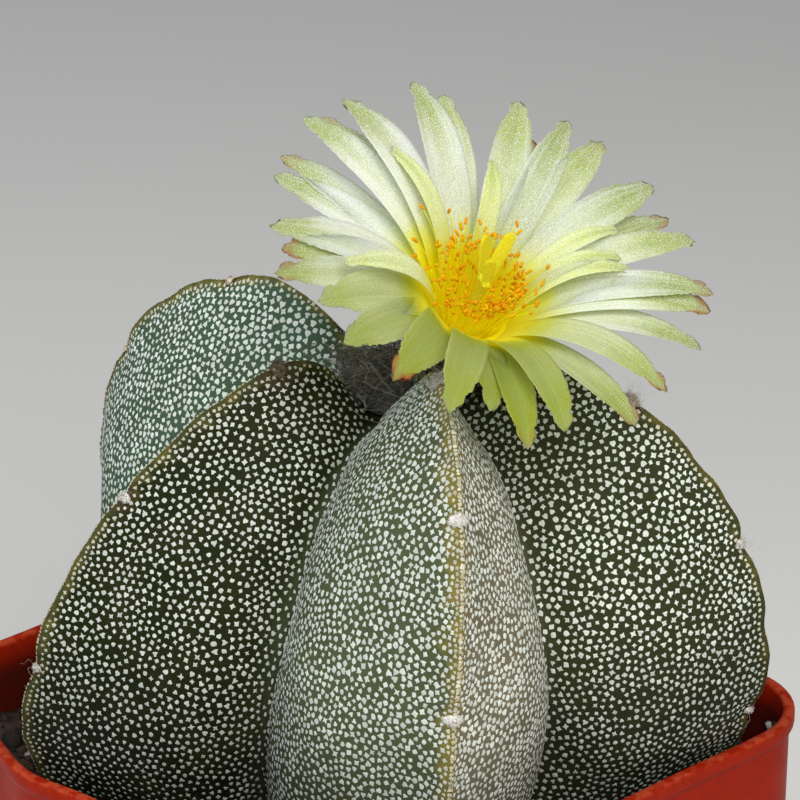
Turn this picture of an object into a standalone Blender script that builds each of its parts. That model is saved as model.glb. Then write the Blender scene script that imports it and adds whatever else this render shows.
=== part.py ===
"""Five-ribbed bishop's-cap cactus in flower, growing in a square plastic nursery pot.

Metres, +Z up. The origin is the middle of the pot's underside. X and Y run along the pot's walls.
"""
import math

import bmesh
import bpy
import numpy as np
from mathutils import Vector

NAME = "potted_astrophytum"
GAP = 0.0003                # left between pieces that touch in the real plant
MM = 0.001
GOLDEN_TURN = math.pi * (3 - math.sqrt(5))

# Pot: thin-walled and moulded, with an upright band under the rim
POT_SIDE = 0.0800
POT_HEIGHT = 0.0720
POT_BASE_SIDE = 0.0580
POT_WALL = 0.0014
POT_FLOOR = 0.0020
POT_CORNER = 0.0098
POT_BASE_CORNER = 0.0080
BAND_HEIGHT = 0.0150
BAND_STEP = 0.0009
LIP_HEIGHT = 0.0024
LIP_PROUD = 0.0006
EDGE_ROUND = 0.0005
DRAIN_RADIUS = 0.0035
DRAIN_OFFSET = 0.0160
CORNER_STEPS, WALL_STEPS = 4, 8

# The ribs press on the walls at the rim, and each pushes its wall out a little, over this spread
PUSH_SPREAD = 0.0075
PUSH_DEPTH = 0.0220

# Growing mix, lumpy on top, its level below the rim
SOIL_LEVEL = -0.0090
SOIL_LUMP = 0.0006
SOIL_RINGS = 5

# Plant: heights are counted from the rim; its axis passes through the foot at the soil and leans
FOOT = np.array([0.0012, -0.0002])
LEAN = np.array([0.061, -0.057])
PIT_RADIUS = 0.0056         # flat pit in the crown, where the wool lies and the flower stands
PIT_HEIGHT = 0.0385
CROWN_POWER = 0.6
VALLEY_TOP = (0.0068, 0.0380)       # radius and height of the valleys beside the crown,
VALLEY_WAIST = (0.0272, 0.0080)     # at the plant's waist
VALLEY_END = (0.0095, -0.0300)      # and at its buried end
VALLEY_POWER = 1.3
KEEL_END = (0.0120, -0.0300)
KEEL_PULL, VALLEY_PULL = 0.31, 0.48     # how far the flank's curve holds each end's direction
VALLEY_TURN = math.radians(29.5)
FLECK_RISE = 0.00022
CROWN_ROWS, SHOULDER_ROWS, BELLY_ROWS, BURIED_ROWS = 4, 12, 5, 2
FLANK_COLUMNS = 8

# A rib: bearing of its keel in degrees, reach and height of the keel's widest point, radius and
# height of its shoulder, the powers that round the keel between them, and the degrees by which
# its two flanks leave the keel, first the one on the clockwise side seen from above, and how far
# down the keel from the shoulder its first areole is
RIBS = (
    dict(bearing=20.8, reach=0.0425, waist=0.0120, shoulder=0.0190, top=0.0465,
         swell=1.30, crest=0.90, flare=(40, 40), first=0.004),
    dict(bearing=97.9, reach=0.0486, waist=0.0190, shoulder=0.0215, top=0.0487,
         swell=1.30, crest=0.80, flare=(40, 40), first=0.008),
    dict(bearing=163.4, reach=0.0458, waist=0.0078, shoulder=0.0154, top=0.0467,
         swell=1.40, crest=1.03, flare=(40, 36), first=0.002),
    dict(bearing=237.4, reach=0.0465, waist=0.0085, shoulder=0.0218, top=0.0509,
         swell=1.20, crest=0.64, flare=(48, 36), first=-0.003),
    dict(bearing=303.7, reach=0.0471, waist=0.0078, shoulder=0.0175, top=0.0457,
         swell=1.30, crest=1.00, flare=(45, 40), first=0.011),
)
AREOLE_PITCH = 0.0225       # woolly cushions along each keel, half sunk in it
AREOLES_PER_RIB = 3
AREOLE_RADIUS = 0.0009
AREOLE_SINK = 0.0004

# Flower: the throat is where the petals part, and the axis leans over the front of the crown
THROAT = Vector((0.00385, -0.01630, 0.05700))
FLOWER_BEARING = math.radians(-99.0)
FLOWER_RISE = math.radians(57.8)
TUBE_FOOT_RADIUS = 0.0019
TUBE = ((-0.0170, 0.0027), (-0.0145, 0.0031), (-0.0120, 0.0036), (-0.0098, 0.0043), (-0.0078, 0.0050),
        (-0.0062, 0.0053))          # height on the flower's axis and radius
TUBE_BOWL = ((-0.0062, 0.0047), (-0.0076, 0.0044), (-0.0098, 0.0037))
TUBE_COLUMNS = 16
TUBE_SCALE_RISE = 0.0005
CUP_OUTSIDE = ((-0.0094, 0.0026), (-0.0086, 0.0033), (-0.0068, 0.0039), (-0.0048, 0.0043), (-0.0040, 0.0047))
CUP_WALL = 0.0010
CUP_FLOOR = 0.0007
CUP_COLUMNS = 20

# Petals of a whorl: turn about the axis in degrees, length from throat to tip in mm, lift in degrees
UPPER_PETALS = (
    (86, 25.5, 17), (54, 25.5, 12), (40, 25.5, 12), (12, 25.5, 12), (-12, 25.5, 15), (-36, 25.6, 17),
    (-68, 25.5, 18), (-101, 25.5, 17), (-112, 25.5, 12), (-132, 25.5, 17), (-149, 21.5, 11),
    (177, 21.5, 9), (150, 25.5, 9), (133, 26.2, 5), (120, 27.4, 15), (110, 26.0, 20),
)
LOWER_PETALS = (
    (75, 25.5, 9), (47, 23.5, 4), (30, 25.5, 12), (3, 25.5, 8), (-31, 25.8, 19), (-49, 25.5, 15),
    (-79, 25.5, 12), (-121, 21.5, 14), (-169, 21.5, 8), (166, 25.5, 8), (155, 24.0, 8),
    (127, 26.7, 6), (115, 26.2, 13),
)
INNER_PETALS = ((98, 17.0, 23), (64, 15.5, 25), (-22, 17.0, 22), (-92, 15.0, 20), (160, 17.0, 20))
UPPER_WIDTH, LOWER_WIDTH, INNER_WIDTH = 0.0049, 0.0046, 0.0024
PETAL_THICKNESS = 0.0006
PETAL_ROOT = (0.0036, -0.0066)      # distance from the flower's axis, and height on it
PETAL_CLIMB = (0.0012, 0.0055)      # how far its first bend is from there
PETAL_ARCH = (0, 0.0016)            # how far its second bend is over the line to the tip
LAYER_DROP = 0.0009
PETAL_STATIONS = (0, 0.20, 0.44, 0.70, 0.90, 1)    # sections, as shares of the length
PETAL_STRIPS = 3
PETAL_WAIST = 0.34          # width at the root, as a share of the greatest width
PETAL_WIDEST = 0.70         # share of the length where a petal is widest
PETAL_BLUNT = 2.6           # power that rounds the tip
PETAL_CHANNEL = 0.22        # depth of the channel, as a share of the half width
FULL_LENGTH = 25.5          # mm; a shorter petal of a whorl is broader by as much

STAMENS = 44
STAMEN_DISC = ((-0.0084, 0.0018), (-0.0070, 0.0024), (-0.0058, 0.0027))
STYLE_CLEARANCE = 0.0010
FILAMENT_RADIUS = 0.00022
ANTHER_RADIUS = 0.00042
ANTHER_LENGTH = 0.0011
STYLE_RADIUS = 0.0006
STIGMA_LOBES = 6
STIGMA_LENGTH = 0.0075
STYLE_HEAD = 0.0022

WOOL_HEIGHT = 0.0042
WOOL_TUFT = 0.0007


def material(name, colour, roughness):
    """Principled material with the piece's colour and roughness."""
    made = bpy.data.materials.new(name)
    made.use_nodes = True
    shader = made.node_tree.nodes["Principled BSDF"]
    shader.inputs["Base Color"].default_value = (*colour, 1.0)
    shader.inputs["Roughness"].default_value = roughness
    return made


def add_object(mesh, collection):
    """Object of the mesh's own name in a collection."""
    made = bpy.data.objects.new(mesh.name, mesh)
    collection.objects.link(made)
    return made


def skin(name, rings, rise=0.0, raised_rows=(0, 0), flat_ends=True):
    """Closed mesh through rings of points, an array of rows by columns by 3.

    Each end is closed by one face, or by a fan where flat_ends is false. The quads of the raised
    rows are each split into four triangles about a middle that is lifted by rise along the quad's normal.
    """
    rows, columns, _ = rings.shape
    made = bmesh.new()
    grid = [[made.verts.new(point) for point in ring] for ring in rings]
    for i in range(rows - 1):
        for j in range(columns):
            k = (j + 1) % columns
            corners = (grid[i][j], grid[i + 1][j], grid[i + 1][k], grid[i][k])
            if not raised_rows[0] <= i < raised_rows[1]:
                made.faces.new(corners)
                continue
            a, b, c, d = (corner.co for corner in corners)
            normal = (c - a).cross(d - b).normalized()
            peak = made.verts.new((a + b + c + d) / 4 + rise * normal)
            for first, second in zip(corners, corners[1:] + corners[:1]):
                made.faces.new((first, second, peak))
    for ring, inward in ((grid[0], 1), (grid[-1], -1)):
        if flat_ends:
            made.faces.new(ring[::inward])
            continue
        middle = made.verts.new(sum((corner.co for corner in ring), Vector()) / columns)
        for j in range(columns):
            pair = (ring[(j + 1) % columns], ring[j])[::-inward]
            made.faces.new((*pair, middle))
    bmesh.ops.recalc_face_normals(made, faces=made.faces)
    mesh = bpy.data.meshes.new(name)
    made.to_mesh(mesh)
    made.free()
    return mesh


def circle(radius, height, columns):
    """Ring of points round Z."""
    turn = np.arange(columns) * 2 * math.pi / columns
    return np.stack([radius * np.cos(turn), radius * np.sin(turn), np.full(columns, height)], axis=1)


def rounded_square(half, corner):
    """Outline of a square with rounded corners, its points the same in number for any size."""
    run = np.linspace(-1, 1, WALL_STEPS + 1)[:-1] * (half - corner)
    bend = np.linspace(-math.pi / 2, 0, CORNER_STEPS + 1)[:-1]
    side = np.stack([run, np.full_like(run, -half)], axis=1)
    arc = np.stack([half - corner + corner * np.cos(bend), corner - half + corner * np.sin(bend)], axis=1)
    edge = np.concatenate([side, arc])
    quarters = [edge]
    for _ in range(3):
        x, y = quarters[-1].T
        quarters.append(np.stack([-y, x], axis=1))
    return np.concatenate(quarters)


def plant_axis(height):
    """Middle of the plant at heights over the rim, from its foot and its lean."""
    over_foot = np.asarray(height) - SOIL_LEVEL
    return FOOT + LEAN * over_foot[..., None]


def meridian(crown, top, waist, end, swell, crest, pit_power):
    """Radius and height down one keel or valley: out of the pit, over the top, round the waist, under.

    The crown is a straight run in radius and a power of a sine in height. The shoulder is a quarter
    of an ellipse with its sine and cosine raised to swell and crest, and the belly a quarter cosine.
    """
    rise = np.arange(CROWN_ROWS + 1) / CROWN_ROWS
    turn = np.arange(1, SHOULDER_ROWS + 1) / SHOULDER_ROWS * math.pi / 2
    fall = np.arange(1, BELLY_ROWS + BURIED_ROWS + 1) / (BELLY_ROWS + BURIED_ROWS)
    radius = np.concatenate([
        crown[0] + (top[0] - crown[0]) * rise,
        top[0] + (waist[0] - top[0]) * np.sin(turn) ** swell,
        end[0] + (waist[0] - end[0]) * np.cos(fall * math.pi / 2),
    ])
    height = np.concatenate([
        crown[1] + (top[1] - crown[1]) * np.sin(rise * math.pi / 2) ** pit_power,
        waist[1] + (top[1] - waist[1]) * np.cos(turn).clip(0) ** crest,
        waist[1] + (end[1] - waist[1]) * fall,
    ])
    return radius, height


def keel(rib, clearance=0.0):
    """Radius and height down the sharp edge of a rib."""
    pit = (PIT_RADIUS, PIT_HEIGHT)
    shoulder = (rib["shoulder"], rib["top"])
    waist = (rib["reach"] + clearance, rib["waist"])
    end = (KEEL_END[0] + clearance, KEEL_END[1] - clearance)
    return meridian(pit, shoulder, waist, end, rib["swell"], rib["crest"], CROWN_POWER)


def valley(clearance=0.0):
    """Radius and height down the fold between two ribs."""
    pit = (PIT_RADIUS, PIT_HEIGHT)
    waist = (VALLEY_WAIST[0] + clearance, VALLEY_WAIST[1])
    end = (VALLEY_END[0] + clearance, VALLEY_END[1] - clearance)
    return meridian(pit, VALLEY_TOP, waist, end, 1.0, VALLEY_POWER, 1.0)


def flank(rib, fold_bearing, flare, clearance=0.0):
    """One side of a rib, rows down it by columns from keel to fold.

    Each row is a cubic Bezier curve. It leaves the keel at the flare angle and comes into the fold
    turned from the fold's own bearing towards the rib.
    """
    keel_radius, keel_height = keel(rib, clearance)
    fold_radius, fold_height = valley(clearance)
    bearing = math.radians(rib["bearing"])
    out = np.array([math.cos(bearing), math.sin(bearing)])
    fold = np.array([math.cos(fold_bearing), math.sin(fold_bearing)])
    across = fold - out * (fold @ out)
    across /= np.linalg.norm(across)
    toward = out - fold * (out @ fold)
    toward /= np.linalg.norm(toward)
    start, finish = keel_radius[:, None] * out, fold_radius[:, None] * fold
    span = np.linalg.norm(finish - start, axis=1)[:, None]
    angle = math.radians(flare)
    first = start + KEEL_PULL * span * (across * math.sin(angle) - out * math.cos(angle))
    second = finish + VALLEY_PULL * span * (fold * math.cos(VALLEY_TURN) + toward * math.sin(VALLEY_TURN))
    t = np.linspace(0, 1, FLANK_COLUMNS + 1)[None, :, None]
    plan = ((1 - t) ** 3 * start[:, None] + 3 * (1 - t) ** 2 * t * first[:, None]
            + 3 * (1 - t) * t ** 2 * second[:, None] + t ** 3 * finish[:, None])
    height = keel_height[:, None] + (fold_height - keel_height)[:, None] * t[..., 0]
    return np.concatenate([plan + plant_axis(height), height[..., None] + POT_HEIGHT], axis=2)


def body_rings(clearance=0.0):
    """Rings of the whole plant from the pit in its crown down to its buried end."""
    bearings = [math.radians(rib["bearing"]) for rib in RIBS]
    columns = []
    for i, rib in enumerate(RIBS):
        before = bearings[i - 1] - (2 * math.pi if i == 0 else 0)
        after = bearings[(i + 1) % len(RIBS)] + (2 * math.pi if i == len(RIBS) - 1 else 0)
        clockwise = flank(rib, (before + bearings[i]) / 2, rib["flare"][0], clearance)
        other = flank(rib, (bearings[i] + after) / 2, rib["flare"][1], clearance)
        columns += [clockwise[:, :0:-1], other[:, :-1]]
    return np.concatenate(columns, axis=1)


def keel_point(rib, height):
    """Place of a rib's keel at a height over the rim, below its shoulder."""
    radius, heights = keel(rib)
    reach = np.interp(-height, -heights[CROWN_ROWS:], radius[CROWN_ROWS:])
    bearing = math.radians(rib["bearing"])
    return plant_axis(height) + reach * np.array([math.cos(bearing), math.sin(bearing)])


def pushed(points):
    """Pot points with each wall moved out where a rib presses on it at the rim.

    The push is a bell along the wall, fading down it, and as high as the rib needs to keep its gap.
    """
    moved = points.copy()
    inside = POT_SIDE / 2 - POT_WALL - GAP
    below_rim = (POT_HEIGHT - points[..., 2]) / PUSH_DEPTH
    for rib in RIBS:
        foot = keel_point(rib, 0.0)
        axis = int(abs(foot[1]) > abs(foot[0]))
        side = math.copysign(1, foot[axis])
        need = max(0.0, abs(foot[axis]) + GAP - inside)
        along = (points[..., 1 - axis] - foot[1 - axis]) / PUSH_SPREAD
        on_wall = np.clip((side * points[..., axis] / inside - 0.7) / 0.2, 0, 1)
        moved[..., axis] += side * need * np.exp(-along ** 2 - below_rim ** 2) * on_wall
    return moved


def pot_rings():
    """Rounded squares from the underside's edge up the outside, over the lip and down the inside."""
    rim, base = POT_SIDE / 2, POT_BASE_SIDE / 2
    band = rim - LIP_PROUD
    band_foot = POT_HEIGHT - BAND_HEIGHT
    under_band = band - BAND_STEP
    lip_foot = POT_HEIGHT - LIP_HEIGHT
    inner = rim - POT_WALL
    profile = (
        (base - 2 * EDGE_ROUND, 0.0), (base, 2 * EDGE_ROUND),
        (under_band, band_foot - BAND_STEP), (band - EDGE_ROUND / 2, band_foot), (band, lip_foot),
        (rim, lip_foot + EDGE_ROUND), (rim, POT_HEIGHT - EDGE_ROUND), (rim - EDGE_ROUND, POT_HEIGHT),
        (inner + EDGE_ROUND / 2, POT_HEIGHT), (inner, POT_HEIGHT - EDGE_ROUND),
        (band - POT_WALL, lip_foot), (band - POT_WALL, band_foot),
        (under_band - POT_WALL, band_foot - BAND_STEP), (base - POT_WALL, POT_FLOOR),
    )
    rings = []
    for half, height in profile:
        share = height / POT_HEIGHT
        corner = POT_BASE_CORNER + (POT_CORNER - POT_BASE_CORNER) * share - (rim - half) * share
        outline = rounded_square(half, corner)
        rings.append(np.column_stack([outline, np.full(len(outline), height)]))
    return np.array(rings)


def add_pot(parts, tools):
    """Pot with drain holes through its floor, away from the middle."""
    pot = add_object(skin("pot", pushed(pot_rings())), parts)
    drains = bmesh.new()
    for i in range(4):
        turn = math.pi / 4 + i * math.pi / 2
        drain = bmesh.ops.create_cone(drains, cap_ends=True, segments=16, radius1=DRAIN_RADIUS,
                                      radius2=DRAIN_RADIUS, depth=4 * POT_FLOOR)
        place = (DRAIN_OFFSET * math.cos(turn), DRAIN_OFFSET * math.sin(turn), 0)
        bmesh.ops.translate(drains, verts=drain["verts"], vec=place)
    mesh = bpy.data.meshes.new("drain_cutter")
    drains.to_mesh(mesh)
    drains.free()
    cutter = add_object(mesh, tools)
    cut(pot, cutter)
    pot.data.materials.append(material("orange_red_plastic", (0.33, 0.035, 0.012), 0.38))


def cut(piece, cutter):
    """Boolean difference that keeps the cutter hidden in its own collection."""
    cutter.hide_render = True
    cutter.display_type = "WIRE"
    carve = piece.modifiers.new("cut", "BOOLEAN")
    carve.operation = "DIFFERENCE"
    carve.solver = "EXACT"
    carve.object = cutter


def fused(name, meshes, collection):
    """One object, the Boolean union of closed meshes."""
    others = bpy.data.collections.new(name + "_pieces")
    bpy.context.scene.collection.children.link(others)
    first = add_object(meshes[0], collection)
    for mesh in meshes[1:]:
        add_object(mesh, others)
    join = first.modifiers.new("join", "BOOLEAN")
    join.operation = "UNION"
    join.solver = "MANIFOLD"
    join.operand_type = "COLLECTION"
    join.collection = others
    graph = bpy.context.evaluated_depsgraph_get()
    result = bpy.data.meshes.new_from_object(first.evaluated_get(graph))
    for piece in [first, *others.objects]:
        bpy.data.objects.remove(piece, do_unlink=True)
    bpy.data.collections.remove(others)
    result.name = name
    result.materials.clear()
    return add_object(result, collection)


def add_soil(parts, tools):
    """Growing mix from the pot's floor to its level, with a plain hole for the plant.

    The top is rings of the pot's own outline shrunk to the middle, with heights from two crossed sines.
    """
    top = POT_HEIGHT + SOIL_LEVEL
    clear = POT_WALL + GAP

    def half_at(height):
        taper_top = POT_HEIGHT - BAND_HEIGHT - BAND_STEP
        under_band = POT_SIDE / 2 - LIP_PROUD - BAND_STEP
        if height > taper_top:
            return under_band - clear
        share = (height - POT_FLOOR) / (taper_top - POT_FLOOR)
        return POT_BASE_SIDE / 2 + (under_band - POT_BASE_SIDE / 2) * share - clear

    floor = POT_FLOOR + GAP
    shoulder = POT_HEIGHT - BAND_HEIGHT - 2 * BAND_STEP
    rings = []
    for height in (floor, shoulder, top):
        half = half_at(height) - GAP
        outline = rounded_square(half, POT_BASE_CORNER - clear)
        rings.append(np.column_stack([outline, np.full(len(outline), height)]))
    edge = rings[-1]
    for i in range(1, SOIL_RINGS):
        ring = edge * [1 - i / SOIL_RINGS, 1 - i / SOIL_RINGS, 1]
        x, y = ring[:, 0] / MM, ring[:, 1] / MM
        ring[:, 2] += SOIL_LUMP * (np.sin(1.3 * x + 0.7 * y) + np.sin(0.9 * y - 1.6 * x) - 1)
        rings.append(ring)
    soil = add_object(skin("growing_mix", np.array(rings), flat_ends=False), parts)
    hole = add_object(skin("plant_hole_cutter", body_rings(2 * GAP), flat_ends=False), tools)
    cut(soil, hole)
    soil.data.materials.append(material("dark_gritty_mix", (0.035, 0.022, 0.014), 0.95))


def keel_run(rib):
    """Length down the keel from its shoulder to each of its rows."""
    radius, height = keel(rib)
    radius, height = radius[CROWN_ROWS:], height[CROWN_ROWS:]
    run = np.concatenate([[0], np.cumsum(np.hypot(np.diff(radius), np.diff(height)))])
    return run, radius, height


def add_body(parts):
    """Ribbed body with its flecks as low raised points all over, and its areoles along the keels."""
    above_soil = CROWN_ROWS + SHOULDER_ROWS + BELLY_ROWS - 1
    pieces = [skin("ribs", body_rings(), FLECK_RISE, (0, above_soil), flat_ends=False)]
    for rib in RIBS:
        run, radius, height = keel_run(rib)
        bearing = math.radians(rib["bearing"])
        out = np.array([math.cos(bearing), math.sin(bearing)])
        for i in range(AREOLES_PER_RIB):
            place = max(0.0, rib["first"] + AREOLE_PITCH * i)
            at_height = np.interp(place, run, height)
            plan = plant_axis(at_height) + (np.interp(place, run, radius) - AREOLE_SINK) * out
            tuft = bmesh.new()
            bmesh.ops.create_icosphere(tuft, subdivisions=1, radius=AREOLE_RADIUS)
            bmesh.ops.translate(tuft, verts=tuft.verts, vec=(*plan, at_height + POT_HEIGHT))
            mesh = bpy.data.meshes.new("areole")
            tuft.to_mesh(mesh)
            tuft.free()
            pieces.append(mesh)
    body = fused("cactus_body", pieces, parts)
    body.data.materials.append(material("flecked_green_skin", (0.17, 0.22, 0.15), 0.7))


def flower_frame():
    """The flower's axes: sideways and level, across, and along its axis, as columns of an array."""
    level = math.cos(FLOWER_RISE)
    along = np.array([level * math.cos(FLOWER_BEARING), level * math.sin(FLOWER_BEARING), math.sin(FLOWER_RISE)])
    side = np.array([-math.sin(FLOWER_BEARING), math.cos(FLOWER_BEARING), 0.0])
    return np.stack([side, np.cross(along, side), along], axis=1)


def in_flower(points):
    """Points given in the flower's own frame, with the throat as origin, placed in the part."""
    throat = np.array(THROAT) + (0, 0, POT_HEIGHT)
    return points @ flower_frame().T + throat


def turned(profile, columns):
    """Rings of a turned shape in the flower's frame, from (height, radius) pairs."""
    return np.array([circle(radius, height, columns) for height, radius in profile])


def add_tube(parts):
    """Scaly tube from the crown's pit to the bowl that the petals sit in.

    Its foot is cut level, just over the pit. Every other point of its outside stands out as a scale.
    """
    outside = turned(TUBE, TUBE_COLUMNS)
    row, column = np.indices(outside.shape[:2])
    stand = 1 + TUBE_SCALE_RISE / np.array([radius for _, radius in TUBE])[:, None] * ((row + column) % 2)
    stand[-1] = 1
    outside[..., :2] *= stand[..., None]
    foot = circle(TUBE_FOOT_RADIUS, 0.0, TUBE_COLUMNS)
    frame = flower_frame()
    drop = PIT_HEIGHT + GAP - THROAT[2] - foot @ frame[2]
    foot[:, 2] = drop / frame[2, 2]
    rings = np.concatenate([foot[None], outside, turned(TUBE_BOWL, TUBE_COLUMNS)])
    tube = add_object(skin("flower_tube", in_flower(rings)), parts)
    tube.data.materials.append(material("scaly_green_brown", (0.20, 0.17, 0.07), 0.8))


def petal_rings(turn, length, lift, width, layer):
    """Sections of one petal from its root in the cup to its tip.

    The midline is a cubic Bezier curve that climbs out of the cup and bends over. The width swells
    from the waist with the square of a sine and rounds off past its widest place, and the section is
    a shallow channel.
    """
    root = np.array(PETAL_ROOT)
    tip = length * np.array([math.cos(lift), math.sin(lift)])
    under = np.array([0.0, layer * LAYER_DROP])
    points = (root, root + PETAL_CLIMB - under, tip * (0.5, 1) + PETAL_ARCH - under, tip)
    t = np.array(PETAL_STATIONS)[:, None]
    middle = ((1 - t) ** 3 * points[0] + 3 * (1 - t) ** 2 * t * points[1]
              + 3 * (1 - t) * t ** 2 * points[2] + t ** 3 * points[3])
    slope = np.gradient(middle, t[:, 0], axis=0)
    slope /= np.linalg.norm(slope, axis=1)[:, None]
    normal = np.stack([-slope[:, 1], slope[:, 0]], axis=1)
    s = t[:, 0]
    swell = np.sin(math.pi / 2 * np.clip(s / PETAL_WIDEST, 0, 1)) ** 2
    fade = ((s - PETAL_WIDEST) / (1 - PETAL_WIDEST)).clip(0) ** PETAL_BLUNT
    half = width / 2 * (PETAL_WAIST + (1 - PETAL_WAIST) * swell) * np.sqrt(np.clip(1 - fade, 0.02, 1))
    across = np.linspace(-1, 1, PETAL_STRIPS + 1)
    channel = PETAL_CHANNEL * (across ** 2 - 0.4)
    rings = []
    for i in range(len(t)):
        faces = []
        for skin_side in (0.5, -0.5):
            offset = channel * half[i] + skin_side * PETAL_THICKNESS
            plan = middle[i] + offset[:, None] * normal[i]
            face = np.stack([plan[:, 0], across * half[i], plan[:, 1]], axis=1)
            faces.append(face if skin_side > 0 else face[::-1])
        rings.append(np.concatenate(faces))
    rings = np.array(rings)
    cosine, sine = math.cos(turn), math.sin(turn)
    x, y = rings[..., 0].copy(), rings[..., 1].copy()
    rings[..., 0], rings[..., 1] = x * cosine - y * sine, x * sine + y * cosine
    return rings


def add_petals(parts):
    """Petals in their layers, rooted in one thin cup."""
    inside = [(height, radius - CUP_WALL) for height, radius in CUP_OUTSIDE[::-1]]
    inside[-1] = (CUP_OUTSIDE[0][0] + CUP_FLOOR, inside[-1][1])
    pieces = [skin("cup", in_flower(turned((*CUP_OUTSIDE, *inside), CUP_COLUMNS)))]
    whorls = ((UPPER_PETALS, UPPER_WIDTH, 0), (LOWER_PETALS, LOWER_WIDTH, 1), (INNER_PETALS, INNER_WIDTH, -1))
    for whorl, width, layer in whorls:
        for turn, length, lift in whorl:
            broad = width if layer < 0 else width * FULL_LENGTH / length
            rings = petal_rings(math.radians(turn), length * MM, math.radians(lift), broad, layer)
            pieces.append(skin("petal", in_flower(rings)))
    petals = fused("petals", pieces, parts)
    petals.data.materials.append(material("satin_lemon_petal", (0.72, 0.78, 0.42), 0.5))


def rod_rings(path, radii, sides):
    """Rings of a thin rod along a path of points, each with its own radius."""
    rings = []
    for i, (point, radius) in enumerate(zip(path, radii)):
        ahead = path[min(i + 1, len(path) - 1)] - path[max(i - 1, 0)]
        ahead = Vector(ahead).normalized()
        first = ahead.orthogonal().normalized()
        second = ahead.cross(first)
        turn = np.arange(sides) * 2 * math.pi / sides
        rings.append(point + radius * (np.outer(np.cos(turn), first) + np.outer(np.sin(turn), second)))
    return np.array(rings)


def add_stamens(parts):
    """Filaments with their anthers, standing on a disc with a hole for the style.

    The roots follow the golden angle over the disc. The outer filaments spread more and stop lower.
    """
    rng = np.random.default_rng(7)
    hole = [(height, STYLE_CLEARANCE) for height, _ in STAMEN_DISC[::-1]]
    disc = turned((*STAMEN_DISC, hole[0], hole[-1]), 16)
    pieces = [ring_skin("disc", in_flower(disc))]
    for i in range(STAMENS):
        share = math.sqrt((i + 0.5) / STAMENS)
        turn = i * GOLDEN_TURN
        root_radius = STYLE_CLEARANCE + 0.0004 + (STAMEN_DISC[-1][1] - STYLE_CLEARANCE - 0.0008) * share
        spread = 0.0026 + 0.0022 * share + rng.uniform(0, 0.0003)
        height = 0.0034 - 0.0018 * share ** 2 + rng.uniform(-0.0007, 0.0007)
        around = np.array([math.cos(turn), math.sin(turn), 0.0])
        up = np.array([0.0, 0.0, 1.0])
        root = around * root_radius + up * (STAMEN_DISC[-1][0] - 0.0006)
        tip = around * spread + up * height
        bend = 0.55 * root + 0.45 * tip + (up - share * around) * 0.0009
        ahead = (tip - bend) / np.linalg.norm(tip - bend)
        path = np.array([root, bend, tip, tip + 0.35 * ANTHER_LENGTH * ahead, tip + ANTHER_LENGTH * ahead])
        radii = (FILAMENT_RADIUS, FILAMENT_RADIUS, FILAMENT_RADIUS, ANTHER_RADIUS, 0.5 * ANTHER_RADIUS)
        pieces.append(skin("stamen", in_flower(rod_rings(path, radii, 3))))
    stamens = fused("stamens", pieces, parts)
    stamens.data.materials.append(material("orange_pollen", (0.80, 0.36, 0.02), 0.7))


def ring_skin(name, rings):
    """Closed mesh of a ring-shaped piece: the last ring of its profile joins the first."""
    made = bmesh.new()
    rows, columns, _ = rings.shape
    grid = [[made.verts.new(point) for point in ring] for ring in rings]
    for i in range(rows):
        for j in range(columns):
            below, beside = (i + 1) % rows, (j + 1) % columns
            made.faces.new((grid[i][j], grid[below][j], grid[below][beside], grid[i][beside]))
    bmesh.ops.recalc_face_normals(made, faces=made.faces)
    mesh = bpy.data.meshes.new(name)
    made.to_mesh(mesh)
    made.free()
    return mesh


def add_pistil(parts):
    """Style that stands on the cup's floor, with its stigma lobes opening out."""
    floor = CUP_OUTSIDE[0][0] + CUP_FLOOR + GAP
    head = STYLE_HEAD
    style = turned(((floor, STYLE_RADIUS), (head, STYLE_RADIUS), (head + STYLE_RADIUS, 0.6 * STYLE_RADIUS)), 8)
    pieces = [skin("style", in_flower(style))]
    for i in range(STIGMA_LOBES):
        turn = math.radians(25) + i * 2 * math.pi / STIGMA_LOBES
        around = np.array([math.cos(turn), math.sin(turn), 0.0])
        up = np.array([0.0, 0.0, 1.0])
        root = up * (head - STYLE_RADIUS)
        share = np.array([0, 0.4, 0.75, 1.0])[:, None]
        path = root + STIGMA_LENGTH * (0.92 * share * up + 0.50 * share ** 1.4 * around)
        radii = np.array([0.7, 0.95, 0.9, 0.35]) * STYLE_RADIUS
        pieces.append(skin("lobe", in_flower(rod_rings(path, radii, 6))))
    pistil = fused("pistil", pieces, parts)
    pistil.data.materials.append(material("lemon_stigma", (0.86, 0.76, 0.06), 0.5))


def add_wool(parts, tools):
    """Felted wool over the floor of the crown's pit, with a plain hole for the flower's tube."""
    rings = []
    for share, rise in ((1.0, 0.0), (0.96, 0.45), (0.75, 0.8), (0.5, 0.95), (0.25, 1.0)):
        ring = circle((PIT_RADIUS - 2 * GAP) * share, PIT_HEIGHT + GAP + WOOL_HEIGHT * rise, 18)
        if rise:
            ring[::2, 2] += WOOL_TUFT
        rings.append(ring)
    rings = np.array(rings)
    rings[..., :2] += plant_axis(np.array(PIT_HEIGHT))
    rings[..., 2] += POT_HEIGHT
    wool = add_object(skin("crown_wool", rings, flat_ends=False), parts)
    hole = [(2 * TUBE[0][0], TUBE_FOOT_RADIUS + 2 * GAP)]
    hole += [(height, radius + TUBE_SCALE_RISE + GAP) for height, radius in TUBE[:4]]
    cut(wool, add_object(skin("tube_hole_cutter", in_flower(turned(hole, TUBE_COLUMNS))), tools))
    wool.data.materials.append(material("grey_wool", (0.20, 0.17, 0.13), 0.95))


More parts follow.
